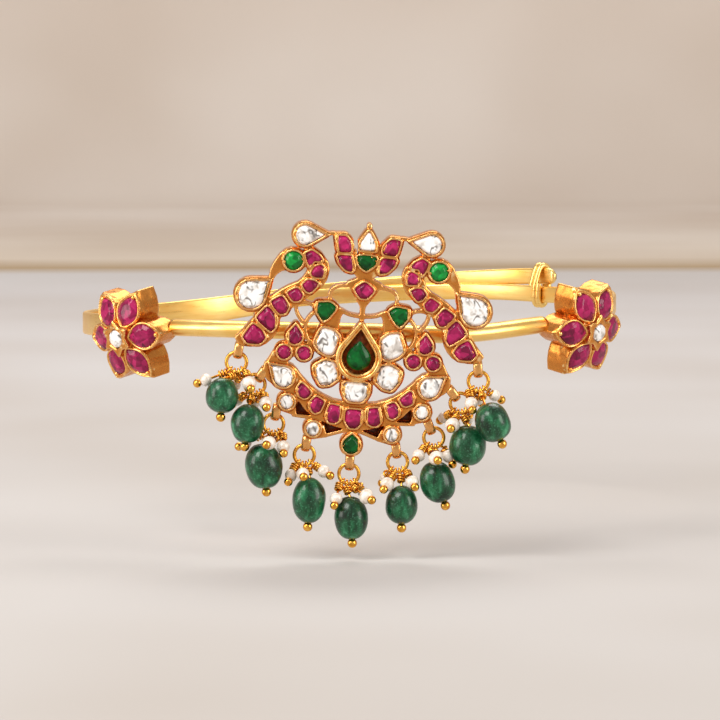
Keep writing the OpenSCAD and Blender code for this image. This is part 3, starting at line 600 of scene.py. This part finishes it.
for node in redNodes:
    cabochons(camel(node), node, pendantPlace, ruby, "ruby")
for node in greenNodes:
    green = brightEmerald if node == "eye_emeralds" else emerald
    rounds = cabochon["centerRounds" if node == "center_emerald" else "rounds"]
    cabochons(camel(node), node, pendantPlace, green, "emerald", rounds)
for node in clearNodes:
    flatStones(camel(node), node, polki, "polki")
for side, word in bothSides:
    cabochons(f"{word}FlowerRubies", f"flower_{word}_rubies", flowerPlace(side), ruby, "ruby")
    flatStones(f"{word}FlowerPolki", f"flower_{word}_polki", polki, "polki")
print("stones done")

# Bezel edges: a bright wire on the lip round every stone, two ridges round the large emerald, the foil floor
# of its well, and floors of painted shade in the open corner wells

# a ridge is its round end's radius, how far its point reaches, its height and its wire
bezel = dict(wire=0.15, sides=8, out=0.29, outMost=1.6, up=2.76, spacing=0.25,
             rimFlat=0.02, rimSteep=0.3, rimOver=2,
             ridges=((2.85, 5.05, 3.16, 0.2), (3.38, 5.72, 3.2, 0.36)), ridgeSides=14,
             pearMiddle=(0, -0.95), pearSpacing=0.3, wellSize=(2.72, 4.8), wellFloor=2.46,
             shadeFloor=0.84, floorThick=0.06,
             corners=(((0.8, -12.6), (4.1, -14.1), (4.8, -11.8)), ((6.5, -10.6), (9.3, -11.05), (9.2, -9))))


def girdles(node, inverse):
    # the outline of each stone where its straight side ends, in millimetres in its own plane
    shape = bmesh.new()
    shape.from_mesh(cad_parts[node].data)
    bmesh.ops.remove_doubles(shape, verts=shape.verts, dist=weld * mm)
    shape.transform(inverse)
    follow = {}
    for face in shape.faces:
        high = max(point.co.z for point in face.verts)
        top = [point for point in face.verts if high - point.co.z < bezel["rimFlat"] * mm]
        upright = abs(face.normal.z) < bezel["rimSteep"]
        if upright and len(top) == 2 and high > bezel["rimOver"] * mm:
            for one, other in (top, top[::-1]):
                follow.setdefault(one.index, []).append(other.index)
    shape.verts.ensure_lookup_table()
    loops = []
    while follow:
        here = next(iter(follow))
        loop = []
        while here in follow:
            loop.append(shape.verts[here].co.xy / mm)
            ways = follow.pop(here)
            here = next((way for way in ways if way in follow), None)
        loops.append(loop)
    shape.free()
    return loops


def spreadOut(loop, by):
    # a closed outline moved outwards, square to its sides
    count = len(loop)
    area = sum(loop[i - 1].cross(loop[i]) for i in range(count))
    way = 1 if area > 0 else -1
    made = []
    for i in range(count):
        first = (loop[i] - loop[i - 1]).normalized()
        second = (loop[(i + 1) % count] - loop[i]).normalized()
        lean = (first + second).normalized()
        stretch = min(bezel["outMost"], 1 / max(0.5, lean.dot(second)))
        made.append(loop[i] + Vector((lean.y, -lean.x)) * way * by * stretch)
    return made


def smoothLoop(loop, spacing):
    # even steps along the outline, with its corners slightly eased
    steps = []
    for i, point in enumerate(loop):
        after = loop[(i + 1) % len(loop)]
        parts = max(1, round((after - point).length / spacing))
        steps += [point.lerp(after, j / parts) for j in range(parts)]
    count = len(steps)
    return [steps[i] * 0.5 + (steps[i - 1] + steps[(i + 1) % count]) * 0.25 for i in range(count)]


def wireLoops(name, loops, radius, sides, material):
    # many closed outlines at once, each a list of points in the frame
    points, edges = [], []
    for loop in loops:
        start = len(points)
        points += loop
        edges += [(start + i, start + (i + 1) % len(loop)) for i in range(len(loop))]
    obj = newObject(name, meshFrom(name, points, edges=edges))
    runTree(obj, wireTree, radius=radius * mm, sides=sides, finish=material)
    return outward(obj)


def raised(loop, place, up):
    return [place @ (Vector((point.x, point.y, up)) * mm) / mm for point in loop]


def pearLoop(r, tip, steps=40):
    # round below, with straight sides up to a point
    opening = math.acos(r / tip)
    cx, cy = bezel["pearMiddle"]
    made = [Vector((cx, cy + tip))]
    for i in range(steps):
        a = math.pi / 2 + opening + (2 * math.pi - 2 * opening) * i / (steps - 1)
        made.append(Vector((cx + r * math.cos(a), cy + r * math.sin(a))))
    return smoothLoop(made, bezel["pearSpacing"])


def plate(name, outline, place, up, thick):
    rings = [raised(outline, place, up), raised(outline, place, up + thick)]
    return skinned(name, rings)


loops = []
for node in redNodes + greenNodes + clearNodes:
    if node != "center_emerald":
        for girdle in girdles(node, pendantPlace.inverted()):
            lip = smoothLoop(spreadOut(girdle, bezel["out"]), bezel["spacing"])
            loops.append(raised(lip, pendantPlace, bezel["up"]))
rims = wireLoops("bezelEdges", loops, bezel["wire"], bezel["sides"], edgeGold)
finishPiece(rims, edgeGold, "cast_gold")
ridges = joined("emeraldRidges", [
    wireLoops("ridge", [raised(pearLoop(r, tip), pendantPlace, up)], wire, bezel["ridgeSides"], edgeGold)
    for r, tip, up, wire in bezel["ridges"]])
finishPiece(ridges, edgeGold, "cast_gold")
well = plate("emeraldWell", pearLoop(*bezel["wellSize"]), pendantPlace, bezel["wellFloor"],
             bezel["floorThick"])
finishPiece(well, foilBrown, None)
# dark plates of painted shade in the lower corner openings
corners = []
for sign in (-1, 1):
    for corner in bezel["corners"]:
        corners.append(plate("corner", [Vector((x * sign, y)) for x, y in corner], pendantPlace,
                             bezel["shadeFloor"], bezel["floorThick"]))
finishPiece(joined("shadedCornerPlates", corners), paintedShadeBrown, None)
print("bezel edges done", len(loops))

# Band: a half-round front wire, two flat straps behind, bound by two wraps of wire

bandFinish = dict(wobble=0.025, wobbleSize=5, wobbleSeed=5, stepDegrees=0.75, faceSteps=21, fullness=0.9,
                  backLine=0.03, backSteps=(-0.82, -0.4, 0.0, 0.4, 0.82), edge=0.4, intoFlower=1.2,
                  cupWall=0.32, tipLeast=0.35, tipThin=0.75, pastWrap=(4, 5))
wrapTurns = dict(count=2, extra=3, pitch=0.98, clear=0.06, easing=16, spacing=0.3, sides=12)
noise.seed_set(bandFinish["wobbleSeed"])  # without it each run would bend the band its own way


def uneven(point, seed):
    # hand work is never quite straight
    shift = noise.noise_vector(Vector(point) / bandFinish["wobbleSize"] + Vector((seed, 0, 0)))
    return Vector(point) + shift * bandFinish["wobble"]


def halfRound(azimuth):
    high, deep = band["wireHeight"] / 2, band["wireDepth"]
    ring = []
    for i in range(bandFinish["faceSteps"] + 1):
        a = math.pi * i / bandFinish["faceSteps"]
        ring.append((deep * (math.sin(a) ** bandFinish["fullness"]) - deep, high * math.cos(a)))
    for up in bandFinish["backSteps"]:
        ring.append((-deep - bandFinish["backLine"], up * high))
    return [uneven(bandPoint(azimuth, *p), 1) for p in ring]


flowerReach = flower["reach"] + bandFinish["cupWall"] - bandFinish["intoFlower"]
flowerHalf = math.degrees(math.asin(flowerReach / band["radius"]))
wireEnd = flower["place"] - flowerHalf
leftRoot = flower["place"] + flowerHalf
rightReach = flower["reach"] - flower["rightUnder"]
rightRoot = flower["place"] + math.degrees(math.asin(rightReach / band["radius"]))
steps = int(2 * wireEnd / bandFinish["stepDegrees"])
frontWire = skinned("frontWire", [halfRound(-wireEnd + 2 * wireEnd * i / steps) for i in range(steps + 1)])
finishPiece(frontWire, bandGold, "band_gold", "front_wire")


def roundedBox(thick, width, edge, perCorner=4):
    ring = []
    for cx, cy, start in ((1, 1, 0), (-1, 1, 90), (-1, -1, 180), (1, -1, 270)):
        for i in range(perCorner):
            a = math.radians(start + 90 * i / (perCorner - 1))
            ring.append((cx * (thick - edge) + edge * math.cos(a), cy * (width - edge) + edge * math.sin(a)))
    return ring


def strapSpread(place):
    first, last = band["rightWrapAt"], band["leftWrapAt"]
    if place > first:
        return max(0, (last - place) / (last - first))
    return eased(1 - (first - place) / band["splitOver"])


# each strap: side, width at its flower, where it starts to taper, and how far out its middle lies
straps = {-1: (band["leftWidth"], 148, -band["strap"] / 2),
          1: (band["rightWidth"], 75, -1.5 * band["strap"] - band["gap"])}


def strapSize(side, turn):
    # half the width of a strap, and the height of its middle over the band's line
    rootWidth, taperFrom, middle = straps[side]
    swell = band["belly"] * math.exp(-((turn - band["bellyAt"]) / band["bellySize"]) ** 2) if side < 0 else 0
    width = rootWidth + (band["tipWidth"] - rootWidth) * eased((turn - taperFrom) / band["taperOver"]) + swell
    up = -side * band["split"] * strapSpread(turn if side > 0 else 360 - turn) - swell * band["bellyDrop"]
    return width / 2, up


def strapRings(side, root, sweep):
    rings = []
    middle = straps[side][2]
    steps = int(sweep / bandFinish["stepDegrees"])
    for j in range(steps + 1):
        turn = root + sweep * j / steps
        fromEnd = math.radians(sweep * (1 - j / steps)) * band["radius"]
        width, up = strapSize(side, turn)
        tip = 1.0
        if fromEnd < width:
            tip = max(bandFinish["tipLeast"], math.sqrt(1 - (1 - fromEnd / width) ** 2))
        thick = bandFinish["tipThin"] + (1 - bandFinish["tipThin"]) * tip
        section = roundedBox(band["strap"] / 2 * thick, width * tip, bandFinish["edge"] * tip)
        rings.append([uneven(bandPoint(side * turn, middle + p[0], up + p[1]), 5 + side) for p in section])
    return rings


leftSweep = 360 - band["rightWrapAt"] + bandFinish["pastWrap"][0] - leftRoot
rightSweep = band["leftWrapAt"] + bandFinish["pastWrap"][1] - rightRoot
leftStrap = skinned("leftStrap", strapRings(-1, leftRoot, leftSweep))
finishPiece(leftStrap, bandGold, "band_gold", "left_strap")
rightStrap = skinned("rightStrap", strapRings(1, rightRoot, rightSweep))
finishPiece(rightStrap, bandGold, "band_gold", "right_strap")


def roundCorners(corners, out, perCorner=5):
    # a path at one distance outside the corners, which run anticlockwise
    path = []
    for i, here in enumerate(corners):
        before = here - corners[i - 1]
        after = corners[(i + 1) % len(corners)] - here
        first = math.atan2(-before.x, before.y)
        last = math.atan2(-after.x, after.y)
        last += 2 * math.pi if last < first else 0
        for k in range(perCorner):
            a = first + (last - first) * k / (perCorner - 1)
            path.append(here + Vector((math.cos(a), math.sin(a))) * out)
    return path


def wrapPath(place):
    # two turns of wire drawn tight round both straps
    azimuth = place - 360 if place > 180 else place
    outer, outerUp = strapSize(-1, 360 - place)
    inner, innerUp = strapSize(1, place)
    deep, back = band["strap"], 2 * band["strap"] + band["gap"]
    corners = [Vector((0, outerUp - outer)), Vector((0, outerUp + outer))]
    if outerUp + outer > innerUp + inner:
        corners.append(Vector((-deep, outerUp + outer)))
    corners += [Vector((-back, innerUp + inner)), Vector((-back, innerUp - inner))]
    if innerUp - inner < outerUp - outer:
        corners.append(Vector((-deep - band["gap"], innerUp - inner)))
    else:
        corners.append(Vector((-deep, outerUp - outer)))
    loop = roundCorners(corners, band["wrapWire"] / 2 + wrapTurns["clear"])
    for _ in range(wrapTurns["easing"]):
        loop = smoothLoop(loop, wrapTurns["spacing"])
    path = []
    total = wrapTurns["count"] * len(loop) + wrapTurns["extra"]
    for i in range(total):
        out, up = loop[(i + len(loop) // 2) % len(loop)]
        along = (i / (total - 1) - 0.5) * wrapTurns["count"] * band["wrapWire"] * wrapTurns["pitch"]
        path.append(bandPoint(azimuth + math.degrees(along / band["radius"]), out, up))
    return path


for _, word in bothSides:
    wrap = tube(word + "Wrap", wrapPath(band[word + "WrapAt"]), band["wrapWire"] / 2, wrapTurns["sides"],
                bandGold)
    finishPiece(wrap, bandGold, "band_gold", word + "_wrap")
print("band done")

# Flower details: a bright edge round every petal, a star bezel round the middle stone, a prong at each tip

petal = dict(count=6, skew=0.95, fullness=0.82, edge=0.16, sides=10, inset=0.16, tipInset=0.208, steps=16,
             spacing=0.25, lift=0.02, prong=0.4, prongIn=0.95, prongUp=0.05)
star = dict(points=6, tip=2.82, valley=1.82, wire=0.25, sides=10, spacing=0.3, rise=0.1, well=1.75,
            wellTurn=30, wellDown=0.6, wellThick=0.1)


def polarPoint(degrees, r):
    # flat, in the plane of a flower
    return Vector((math.cos(math.radians(degrees)), math.sin(math.radians(degrees)))) * r


def petalOutline(inner, tip, half):
    # the same leaf shape that the cups have
    upper = []
    for i in range(petal["steps"] + 1):
        t = i / petal["steps"]
        wide = math.sin(math.pi * t ** petal["skew"]) ** petal["fullness"]
        upper.append(Vector((inner + (tip - inner) * t, half * wide)))
    return upper + [Vector((p.x, -p.y)) for p in upper[-2:0:-1]]


for side, word in bothSides:
    place = flowerPlace(side)
    top = flower["height"] + flower["reach"] * math.tan(math.radians(flower["slope"]))
    leaf = petalOutline(flower["inner"] + petal["inset"], flower["reach"] - petal["tipInset"],
                        flower["width"] / 2 - petal["inset"])
    loops, rows = [], []
    for k in range(petal["count"]):
        onPetal = (place @ turned(360 / petal["count"] * k, "Z") @ Matrix.Translation((0, 0, top * mm))
                   @ turned(flower["slope"], "Y"))
        loops.append(raised(smoothLoop(leaf, petal["spacing"]), onPetal, petal["lift"]))
        tip = Vector((flower["reach"] - petal["prongIn"], 0, petal["prongUp"]))
        rows.append((onPetal @ (tip * mm) / mm, petal["prong"]))
    edges = wireLoops("edges", loops, petal["edge"], petal["sides"], edgeGold)
    outline = []
    for i in range(2 * star["points"]):
        outline.append(polarPoint(180 * i / star["points"], star["tip"] if i % 2 else star["valley"]))
    bezelStar = wireLoops("star", [raised(smoothLoop(outline, star["spacing"]), place, top + star["rise"])],
                          star["wire"], star["sides"], edgeGold)
    prongs = balls("prongs", rows, edgeGold, 14)
    details = joined(word + "FlowerEdges", [edges, bezelStar, prongs])
    finishPiece(details, edgeGold, "cast_gold")
    hexagon = [polarPoint(60 * k + star["wellTurn"], star["well"]) for k in range(6)]
    floor = plate(word + "FlowerWell", hexagon, place, top - star["wellDown"], star["wellThick"])
    finishPiece(floor, foilBrown, None)
print("flowers done")

# Drops: each jump ring carries a bead and three seed pearls on wrapped wire pins

ring = dict(radius=1.6, below=1.1, cadWire=0.23, wire=0.3, steps=48, sides=12, eyeWire=0.19, eye=0.55,
            gap=0.1)
bail = dict(start=0.62, run=0.7, inner=0.55, lipTop=2.8, half=0.72, innerHalf=0.6, innerUp=0.02,
            edge=0.84, dome=0.3, arcSteps=8, sides=24)
# the coil, its pitch and the seats of the balls are shares of the wire and of the balls
pinWire = dict(radius=0.2, sides=8, ball=0.78, ballSeat=0.8, pearlBall=0.71, pearlBallSeat=0.7,
               coilTurns=2.5, coil=2.6, pitch=2.6, perTurn=12, fromEye=0.12, eyeSteps=20, eyeMouth=18,
               overBead=0.25, overPearl=0.1, bend=0.15, stem=0.1)
bead = dict(around=40, levels=22, pole=86.5, fullness=0.85, bore=0.26, boreEnd=0.96, lumps=2.6,
            lopsided=0.05, swell=1.03)
pearl = dict(swell=1.1, uneven=0.12, segments=24)
# how far each bead hangs to the right for each millimetre that it hangs down
sways = [-0.07, -0.12, 0.1, -0.05, 0.04, 0.0, 0.34, -0.11, 0.44]
# each drop from the left: its bail on the pendant and the way that points, its bead's middle, width and
# height, where its four pins sit on the ring in degrees, and its pearls' middles and radii
drops = [
    dict(bail=(-19.05, -0.4, -95), bead=(-22.1, -49.4, -10.5, 5.1, 5.5), angles=(-14, -44, 15, 44),
         pearls=((-24.7, -47.6, -8.2, 0.95), (-20.1, -44.8, -9.2, 0.95), (-17.8, -50.0, -8.5, 1.1))),
    dict(bail=(-14.65, -4.1, -119), bead=(-18.1, -49.3, -15.0, 5.2, 6.0), angles=(-15, -44, 14, 43),
         pearls=((-19.7, -45.3, -11.7, 0.9), (-16.9, -45.6, -11.9, 0.9), (-15.2, -49.6, -11.7, 1.0))),
    dict(bail=(-12.25, -9.9, -97), bead=(-15.5, -48.3, -21.9, 5.9, 6.9), angles=(-15, -44, 14, 43),
         pearls=((-18.3, -45.4, -18.5, 0.9), (-14.7, -51.3, -17.9, 1.1), (-12.4, -49.0, -18.8, 1.0))),
    dict(bail=(-7.1, -14.5, -94), bead=(-8.3, -47.6, -27.5, 5.2, 7.1), angles=(14, -43, -14, 43),
         pearls=((-11.2, -48.0, -23.5, 0.95), (-9.3, -49.3, -23.1, 1.05), (-5.9, -47.8, -22.9, 0.95))),
    dict(bail=(0, -17.0, -89), bead=(-1.55, -47.4, -30.4, 5.3, 6.7), angles=(-14, -43, 15, 44),
         pearls=((-4.0, -48.6, -27.2, 1.0), (0.8, -49.6, -26.7, 1.15), (0.4, -44.9, -26.5, 0.9))),
    dict(bail=(7.1, -14.5, -79), bead=(6.5, -47.6, -28.3, 5.0, 6.0), angles=(14, -15, 43, -44),
         pearls=((4.2, -48.4, -24.9, 1.05), (8.15, -49.0, -24.5, 1.05), (3.9, -45.0, -24.3, 0.85))),
    dict(bail=(11.8, -10.35, -64), bead=(12.2, -48.0, -24.6, 5.4, 6.6), angles=(14, -44, -15, 43),
         pearls=((9.2, -48.6, -20.3, 1.0), (11.8, -51.2, -20.4, 1.1), (13.95, -46.8, -20.6, 1.0))),
    dict(bail=(14.85, -4.9, -48), bead=(17.0, -48.6, -18.7, 5.8, 6.2), angles=(14, -15, -44, 43),
         pearls=((14.5, -50.4, -15.2, 1.15), (13.4, -44.9, -14.6, 0.9), (17.3, -45.2, -14.7, 0.9))),
    dict(bail=(19.05, -0.4, -83), bead=(20.8, -51.6, -14.7, 5.4, 6.1), angles=(14, -44, 43, -15),
         pearls=((17.5, -49.6, -11.9, 1.05), (21.4, -46.6, -10.9, 0.95), (18.9, -45.6, -11.6, 0.85))),
]
eyeMiddle = ring["radius"] - ring["cadWire"] - ring["eyeWire"] - ring["gap"] + ring["eye"]


def polar(degrees):
    # upright, in the plane of the drops
    a = math.radians(degrees)
    return Vector((math.cos(a), 0, math.sin(a)))


def bailSkin(drop):
    # a domed strip bent round the plain eye that the casting has
    across, up, way = drop["bail"]
    turn = Matrix.Translation(Vector((across, up, bail["lipTop"] / 2)) * mm) @ turned(way, "Z")
    arc = [math.pi * k / bail["arcSteps"] for k in range(bail["arcSteps"] + 1)]
    section = [(bail["half"] * math.cos(a), bail["edge"] + bail["dome"] * math.sin(a)) for a in arc]
    section += [(y, bail["inner"] + bail["innerUp"]) for y in (-bail["innerHalf"], 0, bail["innerHalf"])]
    points, faces = [], []
    for i in range(bail["sides"]):
        a = 2 * math.pi * (i + 0.5) / bail["sides"]
        along = bail["start"] + (bail["run"] if math.cos(a) > 0 else 0)
        for y, r in section:
            here = Vector((along + r * math.cos(a), y, r * math.sin(a)))
            points.append(pendantPlace @ turn @ (here * mm) / mm)
    count, total = len(section), len(section) * bail["sides"]
    for i in range(bail["sides"]):
        for j in range(count):
            k = (j + 1) % count
            a, b = i * count, (i + 1) * count % total
            faces.append((a + j, a + k, b + k, b + j))
    return outward(newObject("bail", meshFrom("bail", points, faces)))


def ringMiddle(drop):
    across, up, way = drop["bail"]
    reach = bail["start"] + bail["run"]
    a = math.radians(way)
    onFrame = Vector((across + reach * math.cos(a), up + reach * math.sin(a), bail["lipTop"] / 2))
    down = (bail["inner"] + ring["below"]) * polar(way - pendant["lean"])
    return pendantPlace @ (onFrame * mm) / mm + down


def pinPath(middle, angle, target, beyond, free, hang=None):
    # one wire: a coil round its own stem, up into the eye, round it, and down to the ball; a bead's wire is
    # bent where it enters the bead, which then hangs the way that hang points
    radial = polar(angle - 90)
    start = middle + radial * (eyeMiddle + ring["eye"])
    axis = (target - start).normalized()
    knee = None
    if hang:
        knee = target - hang * (free - pinWire["ball"] * 0.5)
        axis = (knee - start).normalized()
    side = axis.cross(Vector((0.3, 1, 0.1))).normalized()
    other = axis.cross(side)
    wire = pinWire["radius"]
    room = ((knee or target) - start).length - (0 if hang else free) - pinWire["stem"]
    turns = max(1.0, min(pinWire["coilTurns"], room / (wire * pinWire["pitch"])))
    path = []
    count = int(turns * pinWire["perTurn"])
    for i in range(count + 1):
        a = 2 * math.pi * i / pinWire["perTurn"]
        down = pinWire["fromEye"] + (count - i) / pinWire["perTurn"] * wire * pinWire["pitch"]
        out = side * math.cos(a) + other * math.sin(a)
        path.append(start + axis * down + out * wire * pinWire["coil"])
    mouth, eyeSteps = pinWire["eyeMouth"], pinWire["eyeSteps"]
    for i in range(1, eyeSteps + 1):
        a = math.radians(mouth + (360 - 2 * mouth) * i / (eyeSteps + 1))
        place = middle + radial * (eyeMiddle + ring["eye"] * math.cos(a))
        path.append(place + Vector((0, -ring["eye"] * math.sin(a), 0)))
    path.append(start + axis * pinWire["stem"])
    if hang:
        path.append(knee - axis * pinWire["bend"])
        path.append(knee + hang * pinWire["bend"])
        axis = hang
    path.append(target + axis * beyond)
    return path


def greenDrop(name, middle, axis, width, height, node, lump):
    # a drilled oval bead, tumbled by hand and so a little lopsided
    side = axis.cross(Vector((0, 1, 0.2))).normalized()
    other = axis.cross(side)
    around, levels, bore, pole = bead["around"], bead["levels"], bead["bore"], bead["pole"]
    rings = []
    for j in range(levels + 1):
        a = math.radians(-pole + 2 * pole * j / levels)
        r = max(bore, width / 2 * math.cos(a) ** bead["fullness"])
        rings.append((r, height / 2 * math.sin(a)))
    end = height / 2 * bead["boreEnd"]
    rings = [(bore, -end)] + rings + [(bore, end), (bore * 0.98, 0)]
    points, faces = [], []
    for r, along in rings:
        for i in range(around):
            b = 2 * math.pi * i / around
            p = (side * math.cos(b) + other * math.sin(b)) * r + axis * along
            bulge = noise.noise(p / bead["lumps"] + Vector((lump, 0, 0))) * min(1, max(0, r - bore))
            points.append(middle + p * (1 + bead["lopsided"] * bulge))
    for j in range(len(rings)):
        for i in range(around):
            k = (j + 1) % len(rings)
            faces.append((j * around + i, j * around + (i + 1) % around,
                          k * around + (i + 1) % around, k * around + i))
    obj = outward(newObject(name, meshFrom(name, points, faces)))
    return finishPiece(obj, greenBead, "green_bead", node)


lift = Vector((0, 0, pendant["lift"]))
finishPiece(joined("bails", [bailSkin(drop) for drop in drops]), castGold, "cast_gold")
for number, drop in enumerate(drops, 1):
    middle = ringMiddle(drop)
    hoop = [middle + polar(360 * i / ring["steps"]) * ring["radius"] for i in range(ring["steps"])]
    parts = [tube("hoop", hoop, ring["wire"], ring["sides"], wireGold, True)]
    target = Vector(drop["bead"][:3]) + lift
    width, height = (size * bead["swell"] for size in drop["bead"][3:])
    beyond = height / 2 + pinWire["ball"] * pinWire["ballSeat"]
    hang = Vector((sways[number - 1], 0, -1)).normalized()
    path = pinPath(middle, drop["angles"][0], target, beyond, height / 2 + pinWire["overBead"], hang)
    parts.append(tube("pin", path, pinWire["radius"], pinWire["sides"], wireGold))
    ballRows = [(target + hang * beyond, pinWire["ball"])]
    greenDrop(f"drop{number}Bead", target, hang, width, height, f"drop_{number}_bead", number * 7)
    pearlRows = []
    for angle, row in zip(drop["angles"][1:], drop["pearls"]):
        seat = Vector(row[:3]) + lift
        start = middle + polar(angle - 90) * (eyeMiddle + ring["eye"])
        axis = (seat - start).normalized()
        beyond = row[3] + pinWire["pearlBall"] * pinWire["pearlBallSeat"]
        path = pinPath(middle, angle, seat, beyond, row[3] + pinWire["overPearl"])
        parts.append(tube("pin", path, pinWire["radius"], pinWire["sides"], wireGold))
        ballRows.append((seat + axis * beyond, pinWire["pearlBall"]))
        pearlRows.append((seat, row[3] * pearl["swell"]))
    parts.append(balls("ends", ballRows, wireGold))
    findings = joined(f"drop{number}Findings", parts)
    finishPiece(findings, wireGold, "wire_gold", f"drop_{number}_findings")
    pearls = balls(f"drop{number}Pearls", pearlRows, pearlCream, pearl["segments"], pearl["uneven"], number)
    finishPiece(pearls, pearlCream, "pearl", f"drop_{number}_pearls")
print("drops done")

# Stage: plain pale floor that rises into a backdrop far behind, with painted shade on it and soft light

stage = dict(floor=-36.5, near=-900, rise=1160, curve=120, curveSteps=16, high=1500, half=2600,
             fold=(-300, 1030))


def floorMaterial():
    # plain cream cotton over a board: matt, with barely visible tone changes; painted shade makes it greyer
    # near the front and lighter far behind, with a painted shadow line between
    made, tree, shader, place = newMaterial("cream cotton", 0.95)
    along = addNode(tree, "ShaderNodeSeparateXYZ", links={"Vector": place}).outputs["Y"]
    near, far = stage["fold"]
    share = addNode(tree, "ShaderNodeMapRange", {"From Min": near * mm, "From Max": far * mm},
                    {"Value": along})
    # painted shade: greyer near the front, lighter far behind, with a dark painted shadow line at three
    # quarters of the span
    clothAndPaintedShade = addNode(tree, "ShaderNodeValToRGB", links={"Fac": share},
                    stops=((0.0, "C0BDBB"), (0.3, "C5C2C1"), (0.66, "D0CDCE"), (0.725, "D2CFCF"),
                           (0.75, "BFA98C"), (0.79, "E6DACC"), (1.0, "F6ECE3")))
    wash = addNode(tree, "ShaderNodeTexNoise", {"Scale": perMetre(160)}, {"Vector": place})
    tone = addNode(tree, "ShaderNodeValToRGB", links={"Fac": wash},
                   stops=((0.3, "F0EBE6"), (0.7, "FFFFFF")))
    cotton = addNode(tree, "ShaderNodeMix", {0: 1.0}, {6: clothAndPaintedShade, 7: tone},
                     data_type="RGBA", blend_type="MULTIPLY").outputs[2]
    fillIn(tree, shader, {"Specular IOR Level": 0.1}, {"Base Color": cotton})
    return made


profile = [(stage["near"], stage["floor"])]
for i in range(stage["curveSteps"] + 1):
    a = math.radians(90 * i / stage["curveSteps"])
    profile.append((stage["rise"] + stage["curve"] * math.sin(a),
                    stage["floor"] + stage["curve"] * (1 - math.cos(a))))
profile.append((stage["rise"] + stage["curve"], stage["high"]))
points = [(x, y, z) for y, z in profile for x in (-stage["half"], stage["half"])]
faces = [(2 * i, 2 * i + 1, 2 * i + 3, 2 * i + 2) for i in range(len(profile) - 1)]
backdrop = newObject("floorAndBackdrop", meshFrom("floorAndBackdrop", points, faces))
backdrop.data.materials.append(floorMaterial())
for face in backdrop.data.polygons:
    face.use_smooth = True


def softbox(name, place, size, power, colour, aim=(0, -30, -8)):
    data = bpy.data.lights.new(name, "AREA")
    data.shape = "RECTANGLE"
    data.size, data.size_y = size[0] * mm, size[1] * mm
    data.energy = power
    data.color = linear(colour)[:3]
    made = newObject(name, data)
    made.location = Vector(place) * mm
    made.rotation_mode = "QUATERNION"
    made.rotation_quaternion = (Vector(aim) - Vector(place)).to_track_quat("-Z", "Y")
    return made


softbox("keyFromUpperLeft", (-420, -480, 620), (420, 420), 4.7, "FFFCF8")
softbox("fillFromRight", (620, -420, 200), (300, 500), 2.6, "FFFAF4")
softbox("fillFromLeft", (-640, -260, 120), (300, 460), 2.2, "FFFAF4")
softbox("topFromBehind", (60, 420, 620), (600, 300), 2.7, "FFFCF8")
room = dict(colour="F6F3F0", strength=0.6)
world = bpy.data.worlds.new("softRoom")
world.use_nodes = True
fillIn(world.node_tree, world.node_tree.nodes["Background"],
       {"Color": linear(room["colour"]), "Strength": room["strength"]})
bpy.context.scene.world = world
bpy.context.scene.view_settings.view_transform = "Standard"

# Camera: a little left of the front and 4.5 degrees up, as in the photograph

# the focal length is in pixels of a picture 720 across
lens = dict(pivot=(0, -46.5, 0.75), yaw=1.77, pitch=4.47, distance=641, focal=4019, across=720, sensor=36,
            aimDown=5.15, aimLeft=0.11)
yaw, pitch = math.radians(lens["yaw"]), math.radians(lens["pitch"])
ahead = Vector((math.sin(yaw) * math.cos(pitch), math.cos(yaw) * math.cos(pitch), -math.sin(pitch)))
pivot = Vector(lens["pivot"])
eye = pivot - ahead * lens["distance"]
aim = pivot + Vector((-lens["aimLeft"], 0, -lens["aimDown"]))
cameraData = bpy.data.cameras.new("camera")
cameraData.sensor_width = lens["sensor"]
cameraData.lens = lens["sensor"] * lens["focal"] / lens["across"]
cameraData.clip_start, cameraData.clip_end = 0.01, 20
camera = newObject("camera", cameraData)
camera.location = eye * mm
camera.rotation_mode = "QUATERNION"
camera.rotation_quaternion = (aim - eye).to_track_quat("-Z", "Y")
bpy.context.scene.camera = camera
print("stage, light and camera ready")
